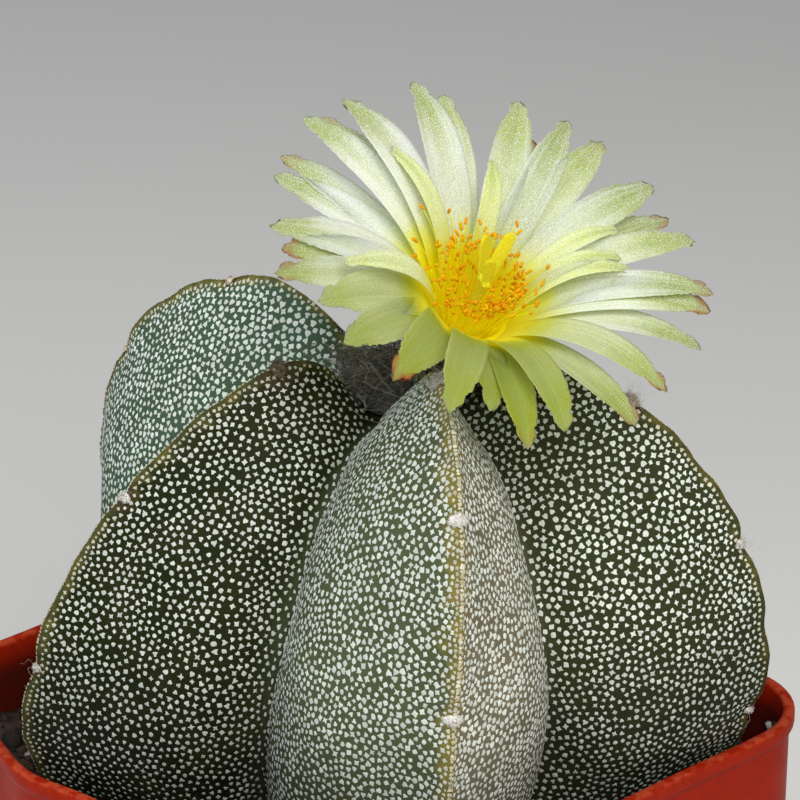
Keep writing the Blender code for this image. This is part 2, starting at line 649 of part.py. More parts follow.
def build():
    """The whole potted plant, from the pot up to the flower's middle."""
    for thing in list(bpy.data.objects):
        bpy.data.objects.remove(thing, do_unlink=True)
    parts = bpy.data.collections.new(NAME)
    tools = bpy.data.collections.new("cutters")
    for collection in (parts, tools):
        bpy.context.scene.collection.children.link(collection)
    add_pot(parts, tools)
    add_soil(parts, tools)
    add_body(parts)
    add_wool(parts, tools)
    add_tube(parts)
    add_petals(parts)
    add_stamens(parts)
    add_pistil(parts)


build()
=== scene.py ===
"""Bishop's-cap cactus in flower in a square nursery pot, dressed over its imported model.

Metres, +Z up. The origin is the middle of the pot's underside.
"""
import math

import bmesh
import bpy
import numpy as np
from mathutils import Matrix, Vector, kdtree


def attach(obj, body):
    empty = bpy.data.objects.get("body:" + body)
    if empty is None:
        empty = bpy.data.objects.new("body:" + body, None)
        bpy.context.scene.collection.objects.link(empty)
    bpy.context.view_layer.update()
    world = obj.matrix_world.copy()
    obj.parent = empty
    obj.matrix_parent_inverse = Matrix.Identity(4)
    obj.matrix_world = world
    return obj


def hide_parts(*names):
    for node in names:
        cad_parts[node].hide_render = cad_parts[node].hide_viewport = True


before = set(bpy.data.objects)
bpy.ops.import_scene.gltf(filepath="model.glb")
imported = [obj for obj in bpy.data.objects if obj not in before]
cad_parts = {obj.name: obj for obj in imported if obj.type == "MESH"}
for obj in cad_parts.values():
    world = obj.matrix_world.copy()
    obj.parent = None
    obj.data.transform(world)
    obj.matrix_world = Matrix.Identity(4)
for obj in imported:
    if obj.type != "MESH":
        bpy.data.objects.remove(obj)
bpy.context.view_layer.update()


# Camera
# A long lens a little above the crown, at the photograph's own angle. A few small things are placed
# by their pixel in the photograph, along the line of sight.
camera_turn, camera_rise, camera_distance = math.radians(-41.57), math.radians(24.7), 0.3974
focal_pixels, frame_pixels, sensor = 3400, 800, 36.0
aim_height, aim_aside = 0.11102, 0.00472
right = Vector((math.cos(camera_turn), math.sin(camera_turn), 0))
back = Vector((math.sin(camera_turn) * math.cos(camera_rise), -math.cos(camera_turn) * math.cos(camera_rise),
               math.sin(camera_rise)))
up = back.cross(right)
aim = Vector((0, 0, aim_height)) + right * aim_aside
lens = bpy.data.cameras.new("camera")
lens.sensor_width, lens.lens, lens.clip_start = sensor, sensor * focal_pixels / frame_pixels, 0.01
camera = bpy.data.objects.new("camera", lens)
bpy.context.scene.collection.objects.link(camera)
camera.location = aim + back * camera_distance
camera.rotation_euler = back.to_track_quat("Z", "Y").to_euler()
bpy.context.scene.camera = camera
camera_place = np.array(camera.location)


def unit(ways):
    """Each way divided by its length, or by next to nothing where it has none."""
    return ways / np.maximum(np.linalg.norm(ways, axis=-1, keepdims=True), 1e-12)


def pixel_sight(x, y):
    """Unit directions from the camera through pixels of the photograph."""
    aside = np.asarray(x, float)[..., None] - frame_pixels / 2
    rise = frame_pixels / 2 - np.asarray(y, float)[..., None]
    return unit(-focal_pixels * np.array(back) + aside * np.array(right) + rise * np.array(up))


# Pot
# A square nursery pot, injection moulded in orange-red plastic, thin in the wall, with an upright
# band under its rolled lip. The fat ribs press on its walls and push them out a little.
POT_SIDE, POT_HEIGHT, POT_BASE_SIDE = 0.0800, 0.0720, 0.0580
POT_WALL, POT_FLOOR = 0.0014, 0.0020
POT_CORNER, POT_BASE_CORNER = 0.0098, 0.0080
BAND_HEIGHT, BAND_STEP = 0.0150, 0.0009
LIP_HEIGHT, LIP_PROUD = 0.0024, 0.0006
EDGE_ROUND, EDGE_POINTS, ROW_PITCH = 0.0005, 5, 0.0016
DRAIN_RADIUS, DRAIN_OFFSET = 0.0035, 0.0160
PUSH_SPREAD, PUSH_DEPTH, PUSH_ROWS = 0.0075, 0.0220, (4, 60, 60)
GIVE_START, GIVE_RUN = 0.7, 0.2         # how far out from the middle the pot gives way, as shares
GAP = 0.0003
WALL_STEPS, CORNER_STEPS = 30, 12
POT_PLASTIC, POT_PLASTIC_DEEP = (0.37, 0.015, 0.002), (0.24, 0.014, 0.003)
# Grime inside the pot is dirt and painted shade together, darker a little way down from the rim.
POT_SCUFF_AND_HIGHLIGHT, POT_GRIME_AND_SHADE = (0.50, 0.085, 0.035), (0.020, 0.010, 0.008)
GRIME_SHADE_START, GRIME_SHADE_RUN = 0.0008, 0.0030         # depth under the rim
# The rim's top edge is paler in the scuff colour, as wear and as a painted highlight.
WEAR_HIGHLIGHT_SPREAD = 0.0003

# Plant as the source builds it: a foot at the soil, a lean, and five ribs round a pit
SOIL_LEVEL = -0.0090
FOOT, LEAN = np.array([0.0012, -0.0002]), np.array([0.061, -0.057])
PIT_RADIUS, PIT_HEIGHT, CROWN_POWER = 0.0056, 0.0385, 0.6
VALLEY_TOP, VALLEY_WAIST, VALLEY_END = (0.0068, 0.0380), (0.0272, 0.0080), (0.0095, -0.0300)
VALLEY_POWER = 1.3
KEEL_END = (0.0120, -0.0300)
KEEL_PULL, VALLEY_PULL, VALLEY_TURN = 0.31, 0.48, math.radians(29.5)
AREOLE_PITCH, AREOLES_PER_RIB = 0.0225, 3
RIBS = (
    dict(bearing=20.8, reach=0.0425, waist=0.0120, shoulder=0.0190, top=0.0465,
         swell=1.30, crest=0.90, flare=(40, 40), first=0.004),
    dict(bearing=97.9, reach=0.0486, waist=0.0190, shoulder=0.0215, top=0.0487,
         swell=1.30, crest=0.80, flare=(40, 40), first=0.008),
    dict(bearing=163.4, reach=0.0458, waist=0.0078, shoulder=0.0154, top=0.0467,
         swell=1.40, crest=1.03, flare=(40, 36), first=0.002),
    dict(bearing=237.4, reach=0.0465, waist=0.0085, shoulder=0.0218, top=0.0509,
         swell=1.20, crest=0.64, flare=(48, 36), first=-0.003),
    dict(bearing=303.7, reach=0.0471, waist=0.0078, shoulder=0.0175, top=0.0457,
         swell=1.30, crest=1.00, flare=(45, 40), first=0.011),
)


class Wire:
    """A shader socket's output. Arithmetic on it adds Math nodes, and node() adds any other."""

    def __init__(self, tree, socket=None):
        self.tree, self.socket = tree, socket

    def node(self, kind, sockets=(), output=0, stops=(), **settings):
        """New node of a kind: its settings and ramp stops first, then its sockets' values or links."""
        made = self.tree.nodes.new("ShaderNode" + kind)
        for name, setting in settings.items():
            setattr(made, name, setting)
        for i, (place, colour) in enumerate(stops):
            stop = made.color_ramp.elements[i] if i < 2 else made.color_ramp.elements.new(place)
            stop.position, stop.color = place, (*colour, 1)
        for name, value in dict(sockets).items():
            if isinstance(value, Wire):
                self.tree.links.new(value.socket, made.inputs[name])
            elif isinstance(value, tuple) and made.inputs[name].type == "RGBA":
                made.inputs[name].default_value = (*value, 1)
            else:
                made.inputs[name].default_value = value
        return Wire(self.tree, made.outputs[output])

    def maths(self, operation, *values):
        return self.node("Math", dict(enumerate(values)), operation=operation)

    def __add__(self, other):
        return self.maths("ADD", self, other)

    def __sub__(self, other):
        return self.maths("SUBTRACT", self, other)

    def __rsub__(self, other):
        return self.maths("SUBTRACT", other, self)

    def __mul__(self, other):
        return self.maths("MULTIPLY", self, other)

    __radd__, __rmul__ = __add__, __mul__

    def between(self, low, high):
        """0 below low and 1 above high, eased, or the other way where low is the greater."""
        return self.node("MapRange", {0: self, 1: low, 2: high}, interpolation_type="SMOOTHSTEP")

    def mixed(self, first, second):
        """Colour that goes from first to second as this goes from 0 to 1."""
        return self.node("Mix", {0: self, 6: first, 7: second}, 2, data_type="RGBA")

    def place(self, scale=(1, 1, 1)):
        """Object coordinates, stretched by scale."""
        at = self.node("TexCoord", output="Object")
        return self.node("Mapping", {"Vector": at, "Scale": scale})

    def grain(self, scale, detail=2.0, at=None):
        """Noise from about 0 to 1 with this many cells to a metre."""
        return self.node("TexNoise", {"Vector": at or self.place(), "Scale": scale, "Detail": detail})

    def mark(self, name, output="Fac"):
        """Attribute of the piece's own points."""
        return self.node("Attribute", output=output, attribute_name=name)

    def bump(self, depth):
        """Normal of a surface whose height is this, depth metres at 1."""
        return self.node("Bump", {"Height": self, "Distance": depth}, output="Normal")


def finish(name, paint, **constants):
    """Principled material. paint gives what varies, from its wire. The constants are the rest, with an
    underscore for each space."""
    made = bpy.data.materials.new(name)
    made.use_nodes = True
    shader = made.node_tree.nodes["Principled BSDF"]
    for socket, value in constants.items():
        shader.inputs[socket.replace("_", " ")].default_value = value
    for socket, value in paint(Wire(made.node_tree)).items():
        made.node_tree.links.new(value.socket, shader.inputs[socket])
    return made


def grid_faces(copies, rows, columns):
    """Faces of grids whose columns go right round: four-sided sides, and one face over each end."""
    index = np.arange(copies * rows * columns).reshape(copies, rows, columns)
    beside = np.roll(index, -1, axis=2)
    sides = np.stack([index[:, :-1], index[:, 1:], beside[:, 1:], beside[:, :-1]], axis=-1).reshape(-1, 4)
    ends = np.concatenate([index[:, 0], index[:, -1, ::-1]])
    return [sides, ends]


def piece(name, points, look, marks=(), colours=(), faces=None):
    """Smooth object at the origin, turned to face out by its signed volume. Its points are a grid whose
    columns go right round, or copies of one, unless it comes with arrays of faces. Its material reads
    marks, which are numbers, and colours, each spread over the points."""
    spots = points.shape[:-1]
    faces = faces or grid_faces(*(1, *spots)[-3:])
    points = points.reshape(-1, 3)
    volume = 0.0
    for group in faces:
        first = points[group[:, 0]]
        for k in range(1, group.shape[1] - 1):
            volume += np.sum(first * np.cross(points[group[:, k]], points[group[:, k + 1]]))
    faces = [group[:, ::-1] if volume < 0 else group for group in faces]
    corners = np.concatenate([group.ravel() for group in faces])
    counts = np.concatenate([np.full(len(group), group.shape[1]) for group in faces])
    mesh = bpy.data.meshes.new(name)
    mesh.vertices.add(len(points))
    mesh.vertices.foreach_set("co", points.astype(np.float32).ravel())
    mesh.loops.add(len(corners))
    mesh.loops.foreach_set("vertex_index", corners.astype(np.int32))
    mesh.polygons.add(len(counts))
    mesh.polygons.foreach_set("loop_start", (np.cumsum(counts) - counts).astype(np.int32))
    mesh.update(calc_edges=True)
    mesh.shade_smooth()
    for mark, values in dict(marks).items():
        field = mesh.attributes.new(mark, "FLOAT", "POINT")
        field.data.foreach_set("value", np.broadcast_to(values, spots).astype(np.float32).ravel())
    for mark, values in dict(colours).items():
        opaque = np.concatenate([np.broadcast_to(values, (*spots, 3)), np.ones((*spots, 1))], axis=-1)
        field = mesh.attributes.new(mark, "FLOAT_COLOR", "POINT")
        field.data.foreach_set("color", opaque.astype(np.float32).ravel())
    mesh.materials.append(look)
    made = bpy.data.objects.new(name, mesh)
    bpy.context.scene.collection.objects.link(made)
    return made


def lumps(points, size, seed):
    """Smooth value noise from -1 to 1: seeded random values on a lattice of this size, eased between."""
    lattice = 64
    table = np.random.default_rng(seed).uniform(-1, 1, (lattice,) * 3)
    place = np.asarray(points) / size
    cell = np.floor(place).astype(int)
    ease = place - cell
    ease = ease * ease * (3 - 2 * ease)
    total = 0.0
    for corner in np.ndindex(2, 2, 2):
        weight = np.prod(np.where(corner, ease, 1 - ease), axis=-1)
        i, j, k = np.moveaxis((cell + corner) % lattice, -1, 0)
        total = total + weight * table[i, j, k]
    return total


def ramp(values, start, run):
    """0 up to the start and 1 from a run past it, straight between."""
    return ((values - start) / run).clip(0, 1)


def bezier(t, *posts):
    """Bezier curve at t: the posts, weighted by n! / k! / (n - k)! times (1 - t)^(n - k) times t^k."""
    last = len(posts) - 1
    return sum(math.comb(last, k) * (1 - t) ** (last - k) * t ** k * post for k, post in enumerate(posts))


def plant_axis(height):
    """Middle of the plant at heights over the rim, from its foot and its lean."""
    return FOOT + LEAN * (np.asarray(height) - SOIL_LEVEL)[..., None]


def meridian(crown, top, waist, end, swell, crest, pit_power, rows):
    """Radius and height down a keel or valley: a power of a sine out of the pit, a quarter ellipse
    with its sine and cosine raised to powers over the shoulder, and a quarter cosine under the waist."""
    rise = np.arange(rows[0] + 1) / rows[0]
    turn = np.arange(1, rows[1] + 1) / rows[1] * math.pi / 2
    fall = np.arange(1, rows[2] + 1) / rows[2]
    radius = np.concatenate([
        crown[0] + (top[0] - crown[0]) * rise,
        top[0] + (waist[0] - top[0]) * np.sin(turn) ** swell,
        end[0] + (waist[0] - end[0]) * np.cos(fall * math.pi / 2),
    ])
    height = np.concatenate([
        crown[1] + (top[1] - crown[1]) * np.sin(rise * math.pi / 2) ** pit_power,
        waist[1] + (top[1] - waist[1]) * np.cos(turn).clip(0) ** crest,
        waist[1] + (end[1] - waist[1]) * fall,
    ])
    return radius, height


def keel(rib, rows):
    """Radius and height down the sharp edge of a rib."""
    return meridian((PIT_RADIUS, PIT_HEIGHT), (rib["shoulder"], rib["top"]), (rib["reach"], rib["waist"]),
                    KEEL_END, rib["swell"], rib["crest"], CROWN_POWER, rows)


def keel_place(rib, rows, height):
    """Place of a rib's keel at a height over the rim, below its shoulder."""
    radius, heights = keel(rib, rows)
    reach = np.interp(-height, -heights[rows[0]:], radius[rows[0]:])
    bearing = math.radians(rib["bearing"])
    return plant_axis(height) + reach * np.array([math.cos(bearing), math.sin(bearing)])


def square_outline(half, corner):
    """Rounded squares, one for each half side and corner radius: a straight run and a quarter circle,
    turned four times."""
    half, corner = np.asarray(half, float)[:, None], np.asarray(corner, float)[:, None]
    run = np.linspace(-1, 1, WALL_STEPS + 1)[:-1] * (half - corner)
    bend = np.linspace(-math.pi / 2, 0, CORNER_STEPS + 1)[:-1]
    side = np.stack([run, np.broadcast_to(-half, run.shape)], axis=-1)
    arc = np.stack([half - corner + corner * np.cos(bend), corner - half + corner * np.sin(bend)], axis=-1)
    quarters = [np.concatenate([side, arc], axis=1)]
    for _ in range(3):
        x, y = quarters[-1][..., 0], quarters[-1][..., 1]
        quarters.append(np.stack([-y, x], axis=-1))
    return np.concatenate(quarters, axis=1)


def eased(profile, size, pitch):
    """Profile with each corner turned into a quadratic curve that starts size from it, or less where
    the sides are short, and with its long runs split to the pitch."""
    profile = np.asarray(profile, float)
    points = [profile[0]]
    for before, corner, after in zip(profile, profile[1:], profile[2:]):
        back, ahead = before - corner, after - corner
        start = corner + back * min(0.45, size / np.linalg.norm(back))
        stop = corner + ahead * min(0.45, size / np.linalg.norm(ahead))
        points.extend(bezier(np.linspace(0, 1, EDGE_POINTS)[:, None], start, corner, stop))
    points.append(profile[-1])
    fine = [points[0]]
    for one, two in zip(points, points[1:]):
        splits = max(1, math.ceil(np.linalg.norm(two - one) / pitch))
        fine.extend(one + (two - one) * k / splits for k in range(1, splits + 1))
    return np.array(fine)


def pushed(points):
    """Pot points with each wall moved out where a rib presses on it, by a bell along the wall that fades
    down it."""
    moved = points.copy()
    inside = POT_SIDE / 2 - POT_WALL - GAP
    below_rim = (POT_HEIGHT - points[..., 2]) / PUSH_DEPTH
    for rib in RIBS:
        foot = keel_place(rib, PUSH_ROWS, 0.0)
        axis = int(abs(foot[1]) > abs(foot[0]))
        side = math.copysign(1, foot[axis])
        need = max(0.0, abs(foot[axis]) + GAP - inside)
        along = (points[..., 1 - axis] - foot[1 - axis]) / PUSH_SPREAD
        on_wall = ramp(side * points[..., axis] / inside, GIVE_START, GIVE_RUN)
        moved[..., axis] += side * need * np.exp(-along ** 2 - below_rim ** 2) * on_wall
    return moved


def plastic(wire):
    """Orange-red plastic, mottled and finely scratched, paler where scuffed, paler on the rim's edge with
    wear and a painted highlight, and darker inside with grime and painted shade."""
    cloud = wire.grain(60, 3).between(0.35, 0.7)
    scratch = wire.grain(900, 2, wire.place((1, 1, 0.08))).between(0.66, 0.74)
    speck = wire.grain(1900, 1).between(0.70, 0.76)
    worn = wire.grain(35, 4).between(0.52, 0.72)
    rubbed = scratch * worn * 0.35 + speck * worn * 0.5
    colour = rubbed.mixed((cloud * 0.35).mixed(POT_PLASTIC, POT_PLASTIC_DEEP), POT_SCUFF_AND_HIGHLIGHT)
    fine = wire.grain(1300, 3).between(0.35, 0.65)
    colour = (fine * 0.45).mixed(colour, POT_PLASTIC_DEEP)
    # Wear and a painted highlight along the rim's top edge.
    colour = (wire.mark("wear_and_highlight") * wire.grain(700, 3).between(0.40, 0.60) * 0.6).mixed(colour, POT_SCUFF_AND_HIGHLIGHT)
    # Painted shade and grime on the inside wall.
    colour = (wire.mark("grime_and_shade") * (0.70 + 0.25 * cloud)).mixed(colour, POT_GRIME_AND_SHADE)
    return {"Base Color": colour, "Roughness": 0.30 + 0.16 * cloud + 0.25 * rubbed,
            "Normal": (wire.grain(260, 3) * 0.6 + scratch * worn * 0.4).bump(0.00006)}


rim, base = POT_SIDE / 2, POT_BASE_SIDE / 2
band = rim - LIP_PROUD
band_foot, lip_foot = POT_HEIGHT - BAND_HEIGHT, POT_HEIGHT - LIP_HEIGHT
under_band = band - BAND_STEP
half, height = eased((
    (base - 4 * EDGE_ROUND, 0.0), (base - 2 * EDGE_ROUND, 0.0), (base, 2 * EDGE_ROUND),
    (under_band, band_foot - BAND_STEP), (band, band_foot), (band, lip_foot), (rim, lip_foot + EDGE_ROUND),
    (rim, POT_HEIGHT), (rim - POT_WALL, POT_HEIGHT), (band - POT_WALL, lip_foot),
    (band - POT_WALL, band_foot), (under_band - POT_WALL, band_foot - BAND_STEP),
    (base - POT_WALL, POT_FLOOR), (base - POT_WALL - 4 * EDGE_ROUND, POT_FLOOR),
), EDGE_ROUND, ROW_PITCH).T
share = height / POT_HEIGHT
corner = POT_BASE_CORNER + (POT_CORNER - POT_BASE_CORNER) * share - (rim - half) * share
outline = square_outline(half, corner)
rings = np.concatenate([outline, np.broadcast_to(height[:, None, None], (*outline.shape[:2], 1))], axis=2)
inside = np.arange(len(height)) > np.argmax(height) + EDGE_POINTS - 1
# Painted shade and grime on the inside, growing over the first few millimetres under the rim.
grime_and_shade = inside * ramp(POT_HEIGHT - height, GRIME_SHADE_START, GRIME_SHADE_RUN)
# Wear and a painted highlight in a narrow band along the rim's top.
wear_and_highlight = np.exp(-((height - POT_HEIGHT) / WEAR_HIGHLIGHT_SPREAD) ** 2)
pot = piece("nursery_pot", pushed(rings), finish("pot_plastic", plastic, Specular_IOR_Level=0.06),
            {"grime_and_shade": grime_and_shade[:, None], "wear_and_highlight": wear_and_highlight[:, None]})
drill = bmesh.new()
for i in range(4):
    turn = math.pi / 4 + i * math.pi / 2
    hole = bmesh.ops.create_cone(drill, cap_ends=True, segments=32, radius1=DRAIN_RADIUS,
                                 radius2=DRAIN_RADIUS, depth=4 * POT_FLOOR)
    place = (DRAIN_OFFSET * math.cos(turn), DRAIN_OFFSET * math.sin(turn), 0)
    bmesh.ops.translate(drill, verts=hole["verts"], vec=place)
cutter_mesh = bpy.data.meshes.new("drain_cutter")
drill.to_mesh(cutter_mesh)
drill.free()
cutter = bpy.data.objects.new("drain_cutter", cutter_mesh)
bpy.context.scene.collection.objects.link(cutter)
carve = pot.modifiers.new("drains", "BOOLEAN")
carve.operation, carve.solver, carve.object = "DIFFERENCE", "EXACT", cutter
drilled = bpy.data.meshes.new_from_object(pot.evaluated_get(bpy.context.evaluated_depsgraph_get()))
pot.modifiers.clear()
pot.data = drilled
bpy.data.objects.remove(cutter)
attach(pot, "root")
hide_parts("pot")


# Cactus skin
# One body of firm flesh under a waxy skin, dark green to teal, with five sharp ribs. A thin line of
# brown, olive or gold follows each keel, which is nicked where an areole sits, and the folds run deep.
CROWN_ROWS, SHOULDER_ROWS, BELLY_ROWS = 22, 84, 44
FLANK_COLUMNS = 40
KEEL_CROWDING = 1.35        # power that crowds the columns towards the keel
NICK_DEPTH, NICK_SPREAD, NICK_WIDTH = 0.00085, 0.0021, 0.0034
HALFWAY_NICKS = (0.3, 0.3, 0.15, 0.3, 0.55)     # how deep each keel is drawn in halfway between two areoles
SWELL_DEPTH, SWELL_SIZE, SWELL_SINK = 0.00042, 0.0085, 0.6      # the sink lowers the middle of the waves
RIPPLE_DEPTH, RIPPLE_SIZE = 0.00007, 0.0022
FLAT_BESIDE_KEEL = 0.004
KEEL_WAVE, KEEL_WAVE_SIZE, KEEL_WAVE_SINK, KEEL_WAVE_SPREAD = 0.00034, 0.0042, 0.7, 0.0022
KEEL_RIPPLE_SIZE = 0.0013
BARK, OLIVE, FERN = (0.19, 0.090, 0.018), (0.125, 0.110, 0.024), (0.060, 0.068, 0.024)
GOLD, MOSS_GOLD = (0.26, 0.195, 0.045), (0.21, 0.180, 0.040)
# Width of the discoloured line beside each rib's keel, and its two colours
KEEL_BANDS = ((0.0013, OLIVE, BARK), (0.0016, OLIVE, MOSS_GOLD), (0.0019, FERN, OLIVE),
              (0.0030, MOSS_GOLD, GOLD), (0.0015, FERN, OLIVE))
# Skin colours of each rib, first of the flank on its clockwise side seen from above. Besides the skin's own
# greens
# they hold painted shade and light: the third rib, on the left, is darker, most of all its flank towards the
# front rib, and the front rib's other flank is lighter.
FLANK_SKINS_AND_SHADE = (
    ((0.030, 0.050, 0.020), (0.030, 0.052, 0.022)),
    ((0.032, 0.060, 0.036), (0.064, 0.115, 0.068)),
    ((0.024, 0.044, 0.026), (0.012, 0.016, 0.003)),
    ((0.078, 0.098, 0.047), (0.200, 0.178, 0.113)),
    ((0.036, 0.044, 0.016), (0.042, 0.050, 0.022)),
)
PATCH_BROWN, MOTTLE_BROWN, STAIN = (0.048, 0.046, 0.014), (0.050, 0.036, 0.014), (0.052, 0.036, 0.014)
SKIN_LOW_SHADE, FLECK_LOW_SHADE = 0.42, 0.60          # painted shade: how much of their colour skin and flecks keep low down
LOW_SHADE_START, LOW_SHADE_RUN = 0.004, 0.018         # over the rim, from dim to full colour
# Spread of the brown stain round each rib's areoles
STAINS = ((0.0015, 0.0012, 0.0012), (0.0018, 0.0012, 0.0012), (0.0036, 0.0024, 0.0016),
          (0.0012, 0.0010, 0.0010), (0.0028, 0.0014, 0.0014))
rows = (CROWN_ROWS, SHOULDER_ROWS, BELLY_ROWS)
bearings = np.radians([rib["bearing"] for rib in RIBS])


def keel_run(rib):
    """Length down a keel from its shoulder to each of its rows, less than nothing in the crown."""
    radius, height = keel(rib, rows)
    run = np.concatenate([[0], np.cumsum(np.hypot(np.diff(radius), np.diff(height)))])
    return run - run[CROWN_ROWS]


def areole_runs(rib):
    """Length down the keel from the shoulder to each areole."""
    return np.maximum(0.0, rib["first"] + AREOLE_PITCH * np.arange(AREOLES_PER_RIB))


def flank(rib, fold_bearing, flare):
    """One side of a rib, rows down it by columns from keel to fold, and each point's distance from the keel.

    Each row is a cubic Bezier curve that leaves the keel at the flare angle and comes into the fold
    turned towards the rib. The keel is drawn in by bells, deep ones at the areoles and shallow ones
    halfway between them, that fade across the flank.
    """
    keel_radius, keel_height = keel(rib, rows)
    fold_radius, fold_height = meridian((PIT_RADIUS, PIT_HEIGHT), VALLEY_TOP, VALLEY_WAIST, VALLEY_END,
                                        1.0, VALLEY_POWER, 1.0, rows)
    past = keel_run(rib)[:, None] - areole_runs(rib)
    halfway = HALFWAY_NICKS[RIBS.index(rib)] * np.exp(-((past - AREOLE_PITCH / 2) / NICK_SPREAD) ** 2)
    nick = (np.exp(-(past / NICK_SPREAD) ** 2) + halfway).sum(axis=1)
    bearing = math.radians(rib["bearing"])
    out = np.array([math.cos(bearing), math.sin(bearing)])
    fold = np.array([math.cos(fold_bearing), math.sin(fold_bearing)])
    across = unit(fold - out * (fold @ out))
    toward = unit(out - fold * (out @ fold))
    start, stop = keel_radius[:, None] * out, fold_radius[:, None] * fold
    span = np.linalg.norm(stop - start, axis=1)[:, None]
    angle = math.radians(flare)
    first = start + KEEL_PULL * span * (across * math.sin(angle) - out * math.cos(angle))
    second = stop + VALLEY_PULL * span * (fold * math.cos(VALLEY_TURN) + toward * math.sin(VALLEY_TURN))
    t = (np.arange(FLANK_COLUMNS + 1) / FLANK_COLUMNS) ** KEEL_CROWDING
    plan = bezier(t[:, None], *(post[:, None] for post in (start, first, second, stop)))
    from_keel = t * span
    plan -= out * (NICK_DEPTH * nick[:, None] * np.exp(-(from_keel / NICK_WIDTH) ** 2))[..., None]
    height = keel_height[:, None] + (fold_height - keel_height)[:, None] * t
    points = np.concatenate([plan + plant_axis(height), height[..., None] + POT_HEIGHT], axis=2)
    return points, from_keel


def normals(grid):
    """Unit normals of a grid that goes right round, from its differences down and along."""
    along = np.roll(grid, -1, axis=1) - np.roll(grid, 1, axis=1)
    return -unit(np.cross(along, np.gradient(grid, axis=0)))


sides, distances, skins_and_shade, owners = [], [], [], []
for i, rib in enumerate(RIBS):
    before = bearings[i - 1] - (2 * math.pi if i == 0 else 0)
    after = bearings[(i + 1) % 5] + (2 * math.pi if i == 4 else 0)
    clockwise, near = flank(rib, (before + bearings[i]) / 2, rib["flare"][0])
    other, far = flank(rib, (bearings[i] + after) / 2, rib["flare"][1])
    sides += [clockwise[:, :0:-1], other[:, :-1]]
    distances += [near[:, :0:-1], far[:, :-1]]
    skins_and_shade += [np.broadcast_to(skin, (FLANK_COLUMNS, 3)) for skin in FLANK_SKINS_AND_SHADE[i]]
    owners += [np.full(2 * FLANK_COLUMNS, i)]
body = np.concatenate(sides, axis=1)
column_count = body.shape[1]
from_keel = np.concatenate(distances, axis=1)
skin_and_shade_colour = np.concatenate(skins_and_shade)
owner = np.concatenate(owners)
for _ in range(4):
    skin_and_shade_colour = (np.roll(skin_and_shade_colour, 1, axis=0) + 2 * skin_and_shade_colour + np.roll(skin_and_shade_colour, -1, axis=0)) / 4
facing = normals(body)
relief = SWELL_DEPTH * (lumps(body, SWELL_SIZE, 1) - SWELL_SINK) + RIPPLE_DEPTH * lumps(body, RIPPLE_SIZE, 2)
edge_wave = KEEL_WAVE * (lumps(body, KEEL_WAVE_SIZE, 3) - KEEL_WAVE_SINK)
edge_wave = edge_wave + KEEL_WAVE / 3 * lumps(body, KEEL_RIPPLE_SIZE, 4)
relief = relief * ramp(from_keel, 0, FLAT_BESIDE_KEEL)
edge_wave = edge_wave * np.exp(-(from_keel / KEEL_WAVE_SPREAD) ** 2)
crest_way = np.repeat(facing[:, FLANK_COLUMNS::2 * FLANK_COLUMNS], 2 * FLANK_COLUMNS, axis=1)
body = body + facing * relief[..., None] + crest_way * edge_wave[..., None]
facing = normals(body)


def on_keel(i, places, field):
    """Values of a field of the body at lengths down rib i's keel."""
    line = field[:, (2 * i + 1) * FLANK_COLUMNS]
    return np.stack([np.interp(places, keel_run(RIBS[i]), line[:, k]) for k in range(3)], axis=-1)


stain = np.zeros(from_keel.shape)
for i, rib in enumerate(RIBS):
    for seat, spread in zip(on_keel(i, areole_runs(rib), body), STAINS[i]):
        stain = np.maximum(stain, np.exp(-(np.linalg.norm(body - seat, axis=2) / spread) ** 2))


def dusk(height, least):
    """Share of its colour that the plant keeps at a height: the least low down, eased up to all of it. On the
    skin and flecks this paints shade towards the soil; it also sizes the flecks.
    """
    rise = ramp(height - POT_HEIGHT, LOW_SHADE_START, LOW_SHADE_RUN)
    return (least + (1 - least) * rise * rise * (3 - 2 * rise))[..., None]


def waxy_skin(wire):
    """Skin of each flank's green, with painted shade and light in it and painted shade low down, mottled
    brown, with the discoloured line along the keels, brown stains round the areoles and fine pores."""
    skin, band, bark = wire.mark("skin", "Color"), wire.mark("band", "Color"), wire.mark("bark", "Color")
    patch = wire.grain(170, 4).between(0.40, 0.70)
    mottle = wire.grain(1500, 3).between(0.50, 0.78)
    grown = (mottle * 0.22).mixed((patch * 0.22).mixed(skin, PATCH_BROWN), MOTTLE_BROWN)
    ragged = wire.mark("from_keel") + (wire.grain(500, 4) - 0.5) * wire.mark("keel_band") * 2.2
    keel_colour = wire.grain(600, 4).between(0.40, 0.60).mixed(band, bark)
    colour = (ragged.between(wire.mark("keel_band"), 0.0) * 0.9).mixed(grown, keel_colour)
    blotch = (wire.mark("stain") + (wire.grain(900, 4) - 0.5) * 0.9).between(0.35, 0.75) * wire.mark("stain")
    rough = wire.grain(700, 3)
    return {"Base Color": blotch.mixed(colour, STAIN), "Roughness": 0.52 + 0.22 * rough,
            "Normal": (rough * 0.5 + wire.grain(3800, 2) * 0.5).bump(0.00010)}


band_widths, *line_colours = map(np.array, zip(*KEEL_BANDS))
# Painted shade: the skin and its keel line darker towards the soil.
shade = dusk(body[..., 2], SKIN_LOW_SHADE)
flesh = piece("cactus_skin", body, finish("cactus_skin", waxy_skin, Specular_IOR_Level=0.08),
              {"from_keel": from_keel, "stain": stain, "keel_band": band_widths[owner]},
              {"skin": skin_and_shade_colour * shade, "band": line_colours[0][owner] * shade,
               "bark": line_colours[1][owner] * shade})
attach(flesh, "root")
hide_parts("cactus_body")


# Flecks
# The skin is crowded with tufts of short white hairs, each a three or four pointed speck some 0.6 mm
# across with its middle about 0.75 mm from the next, and closer together along the keels.
FLECK_PITCHES = (0.00076, 0.00075, 0.00071, 0.00069, 0.00075)       # of each rib
